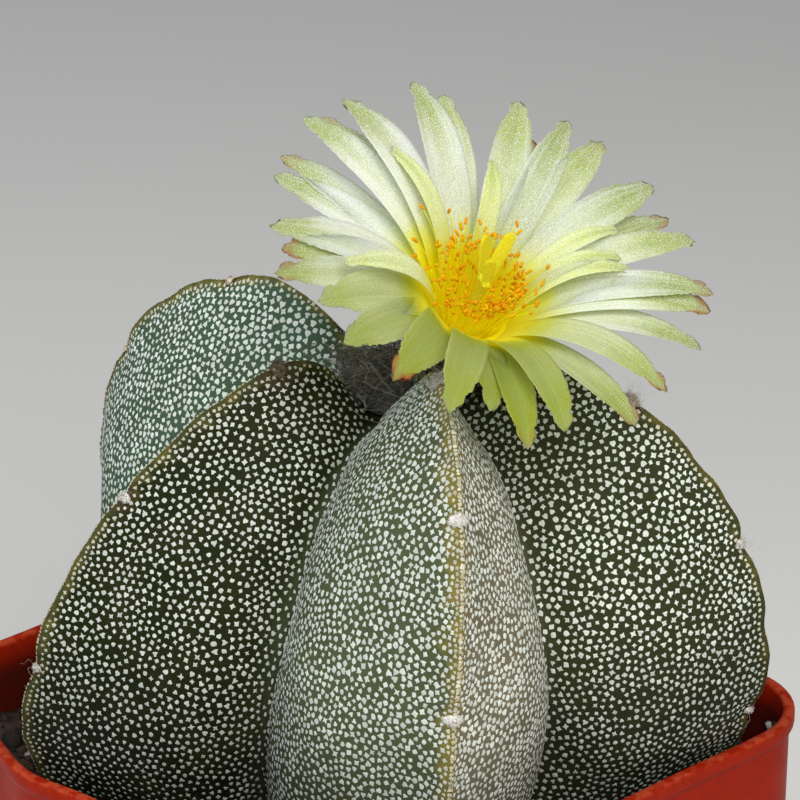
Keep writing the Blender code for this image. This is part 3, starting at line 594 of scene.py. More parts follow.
# Radius of a fleck as a share of the pitch, on each rib's clockwise flank and on its other one
FLECK_SHARES = ((0.42, 0.42), (0.45, 0.46), (0.38, 0.38), (0.47, 0.50), (0.41, 0.42))
# Painted light and shade on the flecks, on the same flanks: dimmer on the left rib and on the front rib's
# first flank, a little brighter on its other
FLECK_LIGHT_AND_SHADE = ((1.0, 1.0), (1.0, 1.0), (0.74, 0.74), (0.82, 1.04), (1.0, 1.0))
FLECK_RISE, FLECK_SIDES, FLECK_TRIES = 0.00005, 8, 60000
CROWDED_SHARE, CROWDED_WIDTH = 0.66, 0.0025         # pitch beside the keel, and how far in that reaches
PITCH_SWAY, PITCH_SWAY_SIZE = 0.10, 0.007
EVEN_ROUNDS, EVEN_REACH, EVEN_PUSH, EVEN_STRAY = 10, 1.27, 0.32, 0.0003
EVEN_NEIGHBOURS, EVEN_LEAST = 6, 1e-7
KEEL_FLECK_PITCH = 0.00048
HIDDEN_DEPTH = 0.002        # below the soil, where the flecks end
CREAM_START, CREAM_WIDTH = 1.1, 0.0016
FLECK_CREAM, FLECK_WHITE, FLECK_SHADE = (0.54, 0.48, 0.27), (0.78, 0.84, 0.77), (0.48, 0.47, 0.40)
LOW_FLECK_SIZE = 0.9
ANY_PHASE = (0, 6.28)


def tree_of(points):
    """Search tree of points."""
    tree = kdtree.KDTree(len(points))
    for i, point in enumerate(points):
        tree.insert(point, i)
    tree.balance()
    return tree


def evened(place, pitch, free, spots, facings):
    """Places pushed apart along the skin: each leaves its six nearest by a share of what they are too near,
    and is laid back on the plane of the nearest of the skin's spots. Also gives the index of that spot."""
    skin_tree = tree_of(spots)
    for _ in range(EVEN_ROUNDS):
        tree = tree_of(place)
        near = np.array([[i for _, i, _ in tree.find_n(point, EVEN_NEIGHBOURS + 1)][1:] for point in place])
        away = place[:, None] - place[near]
        gap = np.maximum(np.linalg.norm(away, axis=2, keepdims=True), EVEN_LEAST)
        push = (away / gap * (EVEN_REACH * pitch[:, None, None] - gap).clip(0)).sum(axis=1)
        place = place + EVEN_PUSH * push * free[:, None]
        seat = np.array([skin_tree.find(point)[1] for point in place])
        off = place - spots[seat]
        off -= facings[seat] * np.sum(off * facings[seat], axis=1, keepdims=True)
        off[np.linalg.norm(off, axis=1) > EVEN_STRAY] = 0
        place = spots[seat] + off
    return place, seat


def scattered(rib_index, rng):
    """Places, normals, distances from the keel, pitches and flank of a rib's flecks: cells of the skin drawn
    by their area, thinned to a pitch apart with a tree, and evened out. A row of them follows the keel."""
    own = np.flatnonzero(owner == rib_index)
    mesh = body[:, own]
    above = body[:-1, own, 2] > POT_HEIGHT + SOIL_LEVEL - HIDDEN_DEPTH
    down = mesh[1:] - mesh[:-1]
    along = body[:-1, (own + 1) % column_count] - mesh[:-1]
    weight = np.linalg.norm(np.cross(down, along), axis=2) * above
    weight[:3] = 0
    cell = rng.choice(weight.size, FLECK_TRIES, p=weight.ravel() / weight.sum())
    row, column = cell // len(own), own[cell % len(own)]
    u, v = rng.random((2, FLECK_TRIES, 1))
    beside = (column + 1) % column_count

    def read(field):
        upper = field[row, column] * (1 - v) + field[row, beside] * v
        lower = field[row + 1, column] * (1 - v) + field[row + 1, beside] * v
        return upper * (1 - u) + lower * u

    spots, out, edge = read(body), unit(read(facing)), read(from_keel[..., None])[:, 0]
    pitch = FLECK_PITCHES[rib_index] * (CROWDED_SHARE + (1 - CROWDED_SHARE) * ramp(edge, 0, CROWDED_WIDTH))
    pitch *= 1 + PITCH_SWAY * lumps(spots, PITCH_SWAY_SIZE, 5)
    tree = tree_of(spots)
    kept = edge > KEEL_FLECK_PITCH / 2
    for i in range(FLECK_TRIES):
        if kept[i]:
            for _, j, _ in tree.find_range(spots[i], pitch[i]):
                if j > i:
                    kept[j] = False
    in_sight = body[:, own[FLANK_COLUMNS], 2] > POT_HEIGHT + SOIL_LEVEL
    beads = np.arange(0.0, keel_run(RIBS[rib_index])[in_sight].max(), KEEL_FLECK_PITCH)
    beads = beads + rng.uniform(-0.3, 0.3, len(beads)) * KEEL_FLECK_PITCH
    bead_place = on_keel(rib_index, beads, body)
    free = np.append(np.ones(kept.sum()), 0 * beads)
    pitch = np.append(pitch[kept], 0 * beads + KEEL_FLECK_PITCH)
    place, seat = evened(np.concatenate([spots[kept], bead_place]), pitch, free, spots, out)
    place[free == 0] = bead_place
    out, edge, flank_index = out[seat], edge[seat], (column[seat] >= own[FLANK_COLUMNS]).astype(int)
    out[free == 0] = on_keel(rib_index, beads, facing)
    edge[free == 0] = 0
    return place, out, edge, pitch, flank_index


def circle(count):
    """Angles of this many points spaced evenly round a circle."""
    return np.arange(count) * 2 * math.pi / count


def tufts(place, out, radius, rise, rng):
    """Low star-shaped cones: a rim whose radius swings three or four times round it, and a raised middle."""
    count = len(place)
    aside = unit(np.cross(out, rng.normal(size=(count, 3))))
    other = np.cross(out, aside)
    turn = circle(FLECK_SIDES)
    arms = rng.integers(3, 5, count)[:, None]
    depth = rng.uniform(0.15, 0.42, count)[:, None]
    swing = 1 + depth * np.cos(arms * turn + rng.uniform(*ANY_PHASE, count)[:, None])
    swing *= rng.uniform(0.84, 1.16, (count, FLECK_SIDES))
    reach = (radius[:, None] * swing)[..., None]
    around = aside[:, None] * np.cos(turn)[:, None] + other[:, None] * np.sin(turn)[:, None]
    rim = place[:, None] + around * reach + out[:, None] * FLECK_RISE / 5
    points = np.concatenate([rim, (place + out * rise[:, None])[:, None]], axis=1)
    index = np.arange(FLECK_SIDES)
    top = np.stack([index, (index + 1) % FLECK_SIDES, np.full(FLECK_SIDES, FLECK_SIDES)], axis=1)
    first = (np.arange(count) * (FLECK_SIDES + 1))[:, None]
    return points, [(top[None] + first[..., None]).reshape(-1, 3), index[::-1] + first]


def woolly_white(wire):
    """Wool of each fleck's white or cream, with painted light and shade in it, finely streaked."""
    streak = wire.grain(5200, 2)
    return {"Base Color": streak.between(0.20, 0.50).mixed(FLECK_SHADE, wire.mark("tone", "Color")),
            "Roughness": 0.75 + 0.2 * streak, "Normal": streak.bump(0.00005)}


def tinted(first, second, share):
    """Colours that go from first to second as the share goes from 0 to 1."""
    return np.array(first) + (np.array(second) - first) * share


fleck_wool = finish("fleck_wool", woolly_white, Specular_IOR_Level=0.25)
for i in range(len(RIBS)):
    rng = np.random.default_rng(40 + i)
    place, out, edge, pitch, flank_index = scattered(i, rng)
    count = len(place)
    size = np.array(FLECK_SHARES[i])[flank_index] * pitch * rng.uniform(0.80, 1.20, count)
    size *= dusk(place[:, 2], LOW_FLECK_SIZE)[:, 0]
    points, faces = tufts(place, out, size, FLECK_RISE * rng.uniform(0.7, 1.4, count), rng)
    cream = (CREAM_START - edge / CREAM_WIDTH).clip(0, 1) * rng.uniform(0.4, 1, count)
    # Painted light and shade by flank, with a random spread of tone, and painted shade low down.
    light_and_tone = np.array(FLECK_LIGHT_AND_SHADE[i])[flank_index] * rng.uniform(0.78, 1.08, count)
    tone = tinted(FLECK_WHITE, FLECK_CREAM, cream[:, None]) * light_and_tone[:, None] * dusk(place[:, 2], FLECK_LOW_SHADE)
    flecks = piece(f"flecks_{i + 1}", points, fleck_wool, colours={"tone": tone[:, None]}, faces=faces)
    flecks.data.shade_flat()
    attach(flecks, "root")


# Growing mix
# A dark gritty mix of peat, bark and pumice, filled to nine millimetres under the rim and settled
# against the plant and the walls. Loose grains and crumbs of white perlite lie on top.
CAVITY_ROWS, TOP_ROWS, SIDE_ROWS = 6, 34, 5
BED_COVER = 0.002           # of the mix over the plant's buried end
SOIL_LUMPS = ((0.0008, 0.0050, 21), (0.0006, 0.0018, 22), (0.0003, 0.0008, 23))     # height, size and seed
GRIT_DARK, GRIT_BROWN, GRIT_PALE = (0.014, 0.009, 0.006), (0.075, 0.046, 0.028), (0.12, 0.085, 0.055)
GRAINS, GRAIN_RADIUS, GRAIN_SPREAD, GRAIN_LIMITS = 900, 0.00055, 0.42, (0.0003, 0.0014)
GRAIN_PROUD, EDGE_CHANCE = 0.2, 0.00002
GRAIN_TONES = ((0.020, 0.013, 0.009), (0.060, 0.038, 0.024), (0.16, 0.12, 0.085), (0.55, 0.52, 0.46))
GRAIN_SHARES = (0.48, 0.32, 0.13, 0.07)
GRAIN_SHADE = (0.05, 0.034, 0.022)
PERLITE_PIXEL, PERLITE_RADIUS, PERLITE_SINK, PERLITE_WHITE = (772, 726), 0.0007, 0.0003, (0.75, 0.75, 0.75)


def layered(points, layers):
    """Sum of smooth noises, each given by its height, size and seed."""
    return sum(height * lumps(points, size, seed) for height, size, seed in layers)


def body_outline(height, clearance):
    """Section of the plant at a height, one point for each of its columns, moved out by a clearance."""
    lower = body[CROWN_ROWS + SHOULDER_ROWS // 2:]
    under = np.argmax(lower[..., 2] < height, axis=0)
    column = np.arange(column_count)
    one, two = lower[under - 1, column], lower[under, column]
    share = (one[:, 2] - height) / (one[:, 2] - two[:, 2])
    plan = (one + (two - one) * share[:, None])[:, :2]
    return plan + clearance * unit(plan - plant_axis(height - POT_HEIGHT))


def wall_outline(start, direction, half, corner):
    """Points where rays from a start meet a rounded square, found by halving."""
    near, far = np.zeros(len(direction)), np.full(len(direction), 4 * POT_SIDE)
    for _ in range(40):
        middle = (near + far) / 2
        over = np.abs(start + direction * middle[:, None]) - (half - corner)
        outside = np.hypot(*over.clip(0).T) + over.max(axis=1).clip(None, 0) > corner
        near, far = np.where(outside, near, middle), np.where(outside, middle, far)
    return start + direction * near[:, None]


def at_height(plan, height):
    """Points of a plan, all at one height."""
    return np.column_stack([plan, np.full(len(plan), height)])


def blobs(places, radii, rng, rows=4, columns=6):
    """Uneven little stones: rings of a sphere, squashed and turned at random, with closed ends."""
    count = len(places)
    tilt = np.linspace(0.5, math.pi - 0.5, rows)[:, None]
    turn, girth = circle(columns), np.sin(tilt)
    ball = np.stack([girth * np.cos(turn), girth * np.sin(turn), np.cos(tilt) + 0 * turn], axis=2)
    stretch = rng.uniform(0.55, 1.25, (count, 1, 1, 3)) * rng.uniform(0.82, 1.18, (count, rows, columns, 1))
    turns, _ = np.linalg.qr(rng.normal(size=(count, 3, 3)))
    turns *= np.sign(np.linalg.det(turns))[:, None, None]
    points = np.einsum("nrcj,nij->nrci", ball * stretch, turns) * radii[:, None, None, None]
    return points + places[:, None, None]


def grit(wire):
    """Dark mix, brown in patches, with coarse and fine grain."""
    fine, coarse = wire.grain(2600, 3), wire.grain(600, 4)
    colour = coarse.between(0.35, 0.65).mixed(GRIT_DARK, GRIT_BROWN)
    return {"Base Color": (fine.between(0.55, 0.75) * 0.6).mixed(colour, GRIT_PALE),
            "Roughness": 0.85 + 0.15 * fine, "Normal": (fine * 0.5 + coarse * 0.5).bump(0.0004)}


def grain_stone(wire):
    """Grains of each one's own tone, pitted."""
    fine = wire.grain(3500, 3)
    return {"Base Color": (fine.between(0.4, 0.7) * 0.5).mixed(wire.mark("tone", "Color"), GRAIN_SHADE),
            "Roughness": 0.8 + 0.2 * fine, "Normal": fine.bump(0.0002)}


soil_top = POT_HEIGHT + SOIL_LEVEL
rng = np.random.default_rng(11)
soil_rings = [at_height(body_outline(height, GAP), height)
              for height in np.linspace(body[-1, 0, 2] + BED_COVER, soil_top, CAVITY_ROWS)]
collar = soil_rings[-1][:, :2]
heart = plant_axis(np.array(SOIL_LEVEL))
outward = unit(collar - heart)
wall = wall_outline(heart, outward, band - POT_WALL - GAP, POT_BASE_CORNER)
for share in np.linspace(0, 1, TOP_ROWS + 1)[1:]:
    ring = at_height(collar + (wall - collar) * share, soil_top)
    ring[:, 2] += layered(ring, SOIL_LUMPS)
    soil_rings.append(ring)
shoulder = band_foot - 2 * BAND_STEP
for share in np.linspace(0, 1, SIDE_ROWS + 1)[1:]:
    half = under_band + (base - under_band) * share - POT_WALL - 2 * GAP
    plan = wall_outline(heart * (1 - share), outward, half, POT_BASE_CORNER - POT_WALL)
    soil_rings.append(at_height(plan, shoulder + (POT_FLOOR + GAP - shoulder) * share))
soil_grid = np.array(soil_rings)
soil = piece("potting_grit", soil_grid, finish("potting_grit", grit))
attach(soil, "root")
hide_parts("growing_mix")

top_grid = soil_grid[CAVITY_ROWS:CAVITY_ROWS + TOP_ROWS - 1]
spread = np.linalg.norm(np.roll(top_grid, -1, axis=1) - top_grid, axis=2) + EDGE_CHANCE
seats = top_grid.reshape(-1, 3)[rng.choice(spread.size, GRAINS, p=spread.ravel() / spread.sum())]
grain_radii = rng.lognormal(math.log(GRAIN_RADIUS), GRAIN_SPREAD, GRAINS).clip(*GRAIN_LIMITS)
seats[:, 2] += GRAIN_PROUD * grain_radii
tone = np.array(GRAIN_TONES)[rng.choice(len(GRAIN_TONES), GRAINS, p=GRAIN_SHARES)]
grains = piece("loose_grains", blobs(seats, grain_radii, rng), finish("loose_grains", grain_stone),
               colours={"tone": tone[:, None, None]})
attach(grains, "root")

# One crumb of perlite clings to the inside of the right-hand wall, just under the lip
sight = pixel_sight(*PERLITE_PIXEL)
cling = camera_place + sight * ((band - POT_WALL - PERLITE_SINK - camera_place[0]) / sight[0])
crumb = piece("perlite_crumb", blobs(cling[None], np.array([PERLITE_RADIUS]), rng, 8, 12),
              finish("perlite", grain_stone), colours={"tone": PERLITE_WHITE})
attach(crumb, "root")


# Areoles
# On each keel sit woolly cushions, one to two and a half millimetres wide, without spines. Most are
# white felt, the others pale or tan or dried to a dark knot, and some have long loose hairs.
AREOLE_HAIRS, AREOLE_SPLAY, HAIR_STRAY, HAIR_STEPS = 170, 0.8, 0.5, 6
FELT_CURL, FELT_THREAD = 0.9, 0.000035
WISP_CURL, WISP_THREAD, WISP_HAIR = 0.8, 0.000018, 0.0026
PAD_ACROSS, PAD_ALONG, PAD_RISE = 0.00095, 0.00060, 0.00035         # half sizes of a pad of size 1
PAD_DROP, PAD_UNEVEN, PAD_LUMP = 0.60, 0.16, 0.9        # how its ends droop, and its lumps on the angles
PAD_ROWS, PAD_HAIRY_ROWS, PAD_COLUMNS = 9, 5, 20
KEEL_PROBE = 0.0008         # half the stretch of keel that gives a pad its direction
FELT_WHITE, FELT_PALE = (0.88, 0.87, 0.83), (0.88, 0.74, 0.58)
FELT_TAN, FELT_DARK, FELT_SHADE = (0.42, 0.34, 0.21), (0.10, 0.070, 0.034), (0.30, 0.27, 0.22)
WISP_WHITE = (0.75, 0.75, 0.72)
MM = 0.001
# Felt colour, length of its hairs, number of long hairs and size of each areole, down from the shoulder
AREOLES = (
    ((FELT_TAN, 0.0004, 4, 1.0), (FELT_TAN, 0.0004, 2, 0.9), (FELT_WHITE, 0.0003, 2, 0.9)),
    ((FELT_PALE, 0.0002, 0, 0.8), (FELT_PALE, 0.0002, 0, 0.6), (FELT_WHITE, 0.0003, 2, 0.7)),
    ((FELT_DARK, 0.0005, 2, 1.35), (FELT_WHITE, 0.0003, 3, 0.9), (FELT_WHITE, 0.0003, 2, 0.6)),
    ((FELT_WHITE, 0.0008, 18, 1.2), (FELT_WHITE, 0.0002, 0, 1.25), (FELT_WHITE, 0.0002, 0, 1.15)),
    ((FELT_PALE, 0.0009, 26, 1.15), (FELT_WHITE, 0.0003, 12, 0.9), (FELT_WHITE, 0.0003, 2, 0.7)),
)


def strands(paths, radii, sides=3):
    """Thin rods: at each point of each path a ring square to it."""
    ahead = unit(np.gradient(paths, axis=1))
    chord = np.abs(paths[:, -1] - paths[:, 0])
    least = np.eye(3)[np.argmin(chord, axis=1)][:, None]
    first = unit(np.cross(ahead, least))
    second = np.cross(ahead, first)
    turn = circle(sides)
    around = first[:, :, None] * np.cos(turn)[:, None] + second[:, :, None] * np.sin(turn)[:, None]
    return paths[:, :, None] + around * np.broadcast_to(radii, paths.shape[:2])[..., None, None]


def hair_paths(roots, ways, lengths, curl, rng, steps=HAIR_STEPS):
    """Hairs that leave their roots along their ways and bend aside with the square of the length,
    with a sine's wobble across that."""
    count = len(roots)
    t = np.linspace(0, 1, steps)[None, :, None]
    ways = unit(ways)
    aside = unit(np.cross(ways, rng.normal(size=(count, 3))))
    cross = np.cross(ways, aside)
    bend = curl * rng.uniform(0.3, 1.0, (count, 1, 1))
    wobble = 0.35 * curl * np.sin(t * rng.uniform(4, 9, (count, 1, 1)))
    path = t * ways[:, None] + bend * t ** 2 * aside[:, None] + wobble * cross[:, None]
    return roots[:, None] + path * lengths[:, None, None]


def felt(wire):
    """Plant wool of each hair's own tone."""
    nap = wire.grain(3000, 2)
    return {"Base Color": nap.between(0.2, 0.6).mixed(FELT_SHADE, wire.mark("tone", "Color")),
            "Roughness": 0.8 + 0.15 * nap}


wool_felt = finish("wool_felt", felt, Specular_IOR_Level=0.25)
rng = np.random.default_rng(61)
paths, thick, tones, pad_grids, pad_tones = [], [], [], [], []
pad_tilt = np.linspace(0.25, math.pi - 0.25, PAD_ROWS)[:, None] + np.zeros(PAD_COLUMNS)
pad_turn = circle(PAD_COLUMNS) + 0 * pad_tilt
for i, rib in enumerate(RIBS):
    places = areole_runs(rib)
    downs = unit(on_keel(i, places + KEEL_PROBE, body) - on_keel(i, places - KEEL_PROBE, body))
    seats, outs = on_keel(i, places, body), unit(on_keel(i, places, facing))
    for (colour, nap, wisps, size), seat, out, down in zip(AREOLES[i], seats, outs, downs):
        spot = np.stack([pad_tilt, pad_turn, 0 * pad_tilt + 7 * seat.sum() / MM], axis=2)
        uneven = 1 + PAD_UNEVEN * lumps(spot, PAD_LUMP, 51)
        over = PAD_ACROSS * size * np.sin(pad_tilt) * np.cos(pad_turn) * uneven
        along = PAD_ALONG * size * np.sin(pad_tilt) * np.sin(pad_turn) * uneven
        high = PAD_RISE * size * np.cos(pad_tilt) * uneven - PAD_DROP * np.abs(over)
        grid = seat + over[..., None] * np.cross(out, down) + along[..., None] * down + high[..., None] * out
        pad_grids.append(grid)
        pad_tones.append(colour)
        hairy = grid[:PAD_HAIRY_ROWS].reshape(-1, 3)
        for count, length, curl, thread, tint in ((AREOLE_HAIRS, nap, FELT_CURL, FELT_THREAD, colour),
                                                  (wisps, WISP_HAIR, WISP_CURL, WISP_THREAD, WISP_WHITE)):
            if count:
                roots = hairy[rng.integers(0, len(hairy), count)]
                ways = out + AREOLE_SPLAY * (roots - seat) / PAD_ACROSS
                ways = ways + rng.normal(scale=HAIR_STRAY, size=(count, 3))
                lengths = length * rng.uniform(0.5, 1.15, count)
                paths.append(hair_paths(roots, ways, lengths, curl, rng))
                thick.append(np.full((count, 1), thread) * np.linspace(1, 0.4, HAIR_STEPS))
                tones.append(np.array(tint) * rng.uniform(0.75, 1.1, (count, 1)))
tuft = piece("areole_hairs", strands(np.concatenate(paths), np.concatenate(thick)), wool_felt,
             colours={"tone": np.concatenate(tones)[:, None, None]})
pads = piece("areole_pads", np.array(pad_grids), wool_felt,
             colours={"tone": np.array(pad_tones)[:, None, None]})
for cushion in (tuft, pads):
    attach(cushion, "root")


# Crown wool
# The hollow of the crown is packed with grey-brown felt from the young areoles, and long tangled
# hairs stand over it round the foot of the flower.
WOOL_HEIGHT, WOOL_RINGS, WOOL_COLUMNS, WOOL_TONE = 0.0042, 16, 48, (0.13, 0.13, 0.13)
WOOL_LUMPS = ((0.0006, 0.0012, 31), (0.0003, 0.0005, 32))
TANGLE_HAIRS, TANGLE_STEPS, TANGLE_THREAD = 760, 12, (0.000022, 0.000045)
TANGLE_CENTRE = (-0.0012, 0.0012, 0.0038)       # from the middle of the pit's floor
TANGLE_REACH = (0.0050, 0.0050, 0.0032)
TANGLE_WAVES, TANGLE_SWING = (1, 2, 4), 0.42
HAIR_GREY, HAIR_DARK = (0.44, 0.43, 0.34), (0.085, 0.075, 0.052)

rng = np.random.default_rng(73)
pit = np.append(plant_axis(np.array(PIT_HEIGHT)), POT_HEIGHT + PIT_HEIGHT)
share = np.linspace(1, 0.04, WOOL_RINGS)[:, None]
turn = circle(WOOL_COLUMNS)
inward = 1 - share ** 4
reach = (PIT_RADIUS - 2 * GAP) * share
rise = WOOL_HEIGHT * inward + 0 * turn + GAP
wool_grid = np.stack([reach * np.cos(turn), reach * np.sin(turn), rise], axis=2)
wool_grid += pit
wool_grid[..., 2] += layered(wool_grid, WOOL_LUMPS) * inward
wool = piece("crown_felt", wool_grid, wool_felt, colours={"tone": WOOL_TONE})
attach(wool, "root")
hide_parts("crown_wool")


def tangle(centre, reach, count, steps, rng):
    """Tangled hairs about a centre: each is a sum of three sine waves in each direction."""
    t = np.linspace(0, 1, steps)[None, :, None]
    start = rng.normal(size=(count, 1, 3))
    start *= rng.random((count, 1, 1)) ** (1 / 3) / np.linalg.norm(start, axis=2, keepdims=True)
    path = start + np.zeros((count, steps, 3))
    for wave in TANGLE_WAVES:
        swing = rng.normal(scale=TANGLE_SWING / wave, size=(count, 1, 3))
        path = path + swing * np.sin(wave * t * math.pi + rng.uniform(*ANY_PHASE, (count, 1, 3)))
    return centre + path * reach


paths = tangle(pit + TANGLE_CENTRE, np.array(TANGLE_REACH), TANGLE_HAIRS, TANGLE_STEPS, rng)
hairs = strands(paths, rng.uniform(*TANGLE_THREAD, (TANGLE_HAIRS, 1)))
tone = tinted(HAIR_DARK, HAIR_GREY, rng.random((TANGLE_HAIRS, 1)) ** 1.5)
tangled = piece("crown_hairs", hairs, wool_felt, colours={"tone": tone[:, None, None]})
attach(tangled, "root")


# Flower tube
# The flower stands on a short fleshy tube that leans out of the crown, green-brown and clad in
# narrow papery scales, dark at the tip, with dark wool in their axils.
THROAT = np.array([0.00385, -0.01630, 0.05700 + POT_HEIGHT])
FLOWER_BEARING, FLOWER_RISE = math.radians(-99.0), math.radians(57.8)
TUBE = ((-0.0215, 0.0021), (-0.0190, 0.0024), (-0.0170, 0.0027), (-0.0145, 0.0031), (-0.0120, 0.0036),
        (-0.0098, 0.0043), (-0.0078, 0.0050), (-0.0062, 0.0053), (-0.0060, 0.0049), (-0.0076, 0.0044),
        (-0.0098, 0.0037))
TUBE_OUTSIDE, TUBE_COLUMNS, TUBE_LUMP = 8, 48, 0.0012       # points of its outside, and its uneven girth
SCALES, SCALE_STEPS, SCALE_STRIPS = 54, 12, 5
SCALE_LENGTH, SCALE_WIDTH, SCALE_THICKNESS, SCALE_CUP = 0.0046, 0.0016, 0.00018, -0.35
SCALE_FOOT, SCALE_CLIMB, SCALE_CLEAR, SCALE_SPLAY, SCALE_SWAY = -0.0205, 0.0120, 0.00015, 0.0009, 0.0003
AXIL_HAIRS, AXIL_STEPS, AXIL_LENGTH, AXIL_CURL = 260, 8, (0.0015, 0.0042), 0.7
AXIL_THREAD, AXIL_SPAN = (0.000035, 0.000012), (-0.0215, -0.0095)       # thickness, and heights of the roots
LEAST_HALF_WIDTH = 0.00003
GOLDEN_TURN = math.pi * (3 - math.sqrt(5))
TUBE_GREEN, TUBE_BROWN = (0.060, 0.075, 0.022), (0.15, 0.10, 0.045)
SCALE_GREEN, SCALE_BROWN, SCALE_MARGIN = (0.16, 0.17, 0.055), (0.075, 0.035, 0.020), (0.34, 0.26, 0.17)

flower_way = np.array([math.cos(FLOWER_RISE) * math.cos(FLOWER_BEARING),
                       math.cos(FLOWER_RISE) * math.sin(FLOWER_BEARING), math.sin(FLOWER_RISE)])
flower_side = np.array([-math.sin(FLOWER_BEARING), math.cos(FLOWER_BEARING), 0.0])
flower_axes = np.stack([flower_side, np.cross(flower_way, flower_side), flower_way], axis=1)


def in_flower(points):
    """Points of the flower's own frame, with the throat as origin, placed in the part."""
    return points @ flower_axes.T + THROAT


def outward_ways(turn):
    """Unit ways out from the flower's axis at these turns."""
    return np.stack([np.cos(turn), np.sin(turn), 0 * turn], axis=-1)


def turned(profile, columns):
    """Rings of a turned shape in the flower's frame, from (height, radius) pairs."""
    height, radius = np.asarray(profile, float).T[..., None, None]
    return radius * outward_ways(circle(columns)) + height * [0, 0, 1]


def blades(middle, turn, left, right, thickness, cup, strips, twist=0.0, ripple=0.0, ahead=0.0):
    """Closed thin blades. A blade's middle line lies in the plane through the flower's axis at its turn,
    as (distance, height, aside) points. From there each section runs left and right across that plane by
    its own half widths, bent into a cup, tilted by the twist and moved ahead along the line, and has a
    top and an under face that come close at the margins."""
    slope = unit(np.gradient(middle[..., :2], axis=1))[..., None, :]
    outward, upward = slope[..., 0], slope[..., 1]
    distance, height, aside = np.moveaxis(middle[..., None, :], -1, 0)
    v = np.linspace(-1, 1, 2 * strips + 1)
    reach = np.where(v < 0, left[..., None], right[..., None]) * v
    half = (left + right)[..., None] / 2
    lift = cup * half * (v ** 2 - 0.4) + reach * np.sin(twist) + ripple
    faces = []
    for face in (0.5, -0.5):
        offset = lift + face * thickness * (1 - 0.75 * v ** 2)
        spot = np.stack([distance - upward * offset + outward * ahead, aside + reach * np.cos(twist),
                         height + outward * offset + upward * ahead], axis=-1)
        faces.append(spot if face > 0 else spot[:, :, ::-1])
    rings = np.concatenate(faces, axis=2)
    cosine, sine = np.cos(turn)[:, None, None], np.sin(turn)[:, None, None]
    x, y = rings[..., 0] * cosine - rings[..., 1] * sine, rings[..., 0] * sine + rings[..., 1] * cosine
    return np.stack([x, y, rings[..., 2]], axis=-1), np.concatenate([v, v[::-1]])


def tube_skin(wire):
    """Green-brown tube, ribbed lengthwise by noise."""
    grown = wire.grain(900, 3)
    return {"Base Color": grown.between(0.35, 0.65).mixed(TUBE_GREEN, TUBE_BROWN),
            "Roughness": 0.55 + 0.3 * grown, "Normal": grown.bump(0.0003)}


def scale_paper(wire):
    """Papery scales, green at the foot and dark brown at the tip, with pale margins."""
    along, across = wire.mark("along"), wire.mark("across")
    grown = along.between(0.35, 0.95).mixed(SCALE_GREEN, SCALE_BROWN)
    return {"Base Color": ((across * across).between(0.5, 1.0) * 0.5).mixed(grown, SCALE_MARGIN),
            "Roughness": 0.6 + 0.25 * wire.grain(2500, 2)}


tube_grid = turned(eased(TUBE, 0.0004, 0.0005), TUBE_COLUMNS)
tube_grid[..., :2] *= 1 + 0.05 * lumps(tube_grid, TUBE_LUMP, 41)[..., None]
tube = piece("flower_tube_skin", in_flower(tube_grid), finish("tube_skin", tube_skin))
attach(tube, "root")
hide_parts("flower_tube")

rng = np.random.default_rng(83)
order = np.arange(SCALES) / SCALES
tube_heights, tube_radii = np.array(TUBE[:TUBE_OUTSIDE]).T
t = np.linspace(0, 1, SCALE_STEPS)
length = (SCALE_LENGTH * (0.7 + 0.5 * order) * rng.uniform(0.85, 1.15, SCALES))[:, None]
climb = (SCALE_FOOT + SCALE_CLIMB * order)[:, None] + length * t
splay = (SCALE_SPLAY * rng.uniform(0.4, 1.2, SCALES))[:, None] * t ** 2.2
stand = np.interp(climb, tube_heights, tube_radii) + SCALE_CLEAR + splay
middle = np.stack([stand, climb, SCALE_SWAY * rng.normal(size=SCALES)[:, None] * t ** 2], axis=2)
half = SCALE_WIDTH / 2 * (0.75 + 0.4 * order)[:, None] * (1 - t ** 2.5) * (0.7 + 0.5 * t) + LEAST_HALF_WIDTH
scale_grid, across = blades(middle, np.arange(SCALES) * GOLDEN_TURN, half, half, SCALE_THICKNESS, SCALE_CUP,
                            SCALE_STRIPS)
scales = piece("tube_scales", in_flower(scale_grid), finish("scale_paper", scale_paper),
               {"along": t[:, None], "across": across})

around = outward_ways(rng.uniform(0, 2 * math.pi, AXIL_HAIRS))
climb = rng.uniform(*AXIL_SPAN, AXIL_HAIRS)
roots = around * np.interp(climb, tube_heights, tube_radii)[:, None] + climb[:, None] * [0, 0, 1]
ways = around + [0, 0, 0.9] + rng.normal(scale=0.4, size=(AXIL_HAIRS, 3))
paths = hair_paths(roots, ways, rng.uniform(*AXIL_LENGTH, AXIL_HAIRS), AXIL_CURL, rng, AXIL_STEPS)
tone = tinted(HAIR_DARK, HAIR_GREY, rng.random((AXIL_HAIRS, 1)))
axils = piece("tube_hairs", strands(in_flower(paths), np.linspace(*AXIL_THREAD, AXIL_STEPS)), wool_felt,
              colours={"tone": tone[:, None, None]})
for dress in (scales, axils):
    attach(dress, "root")


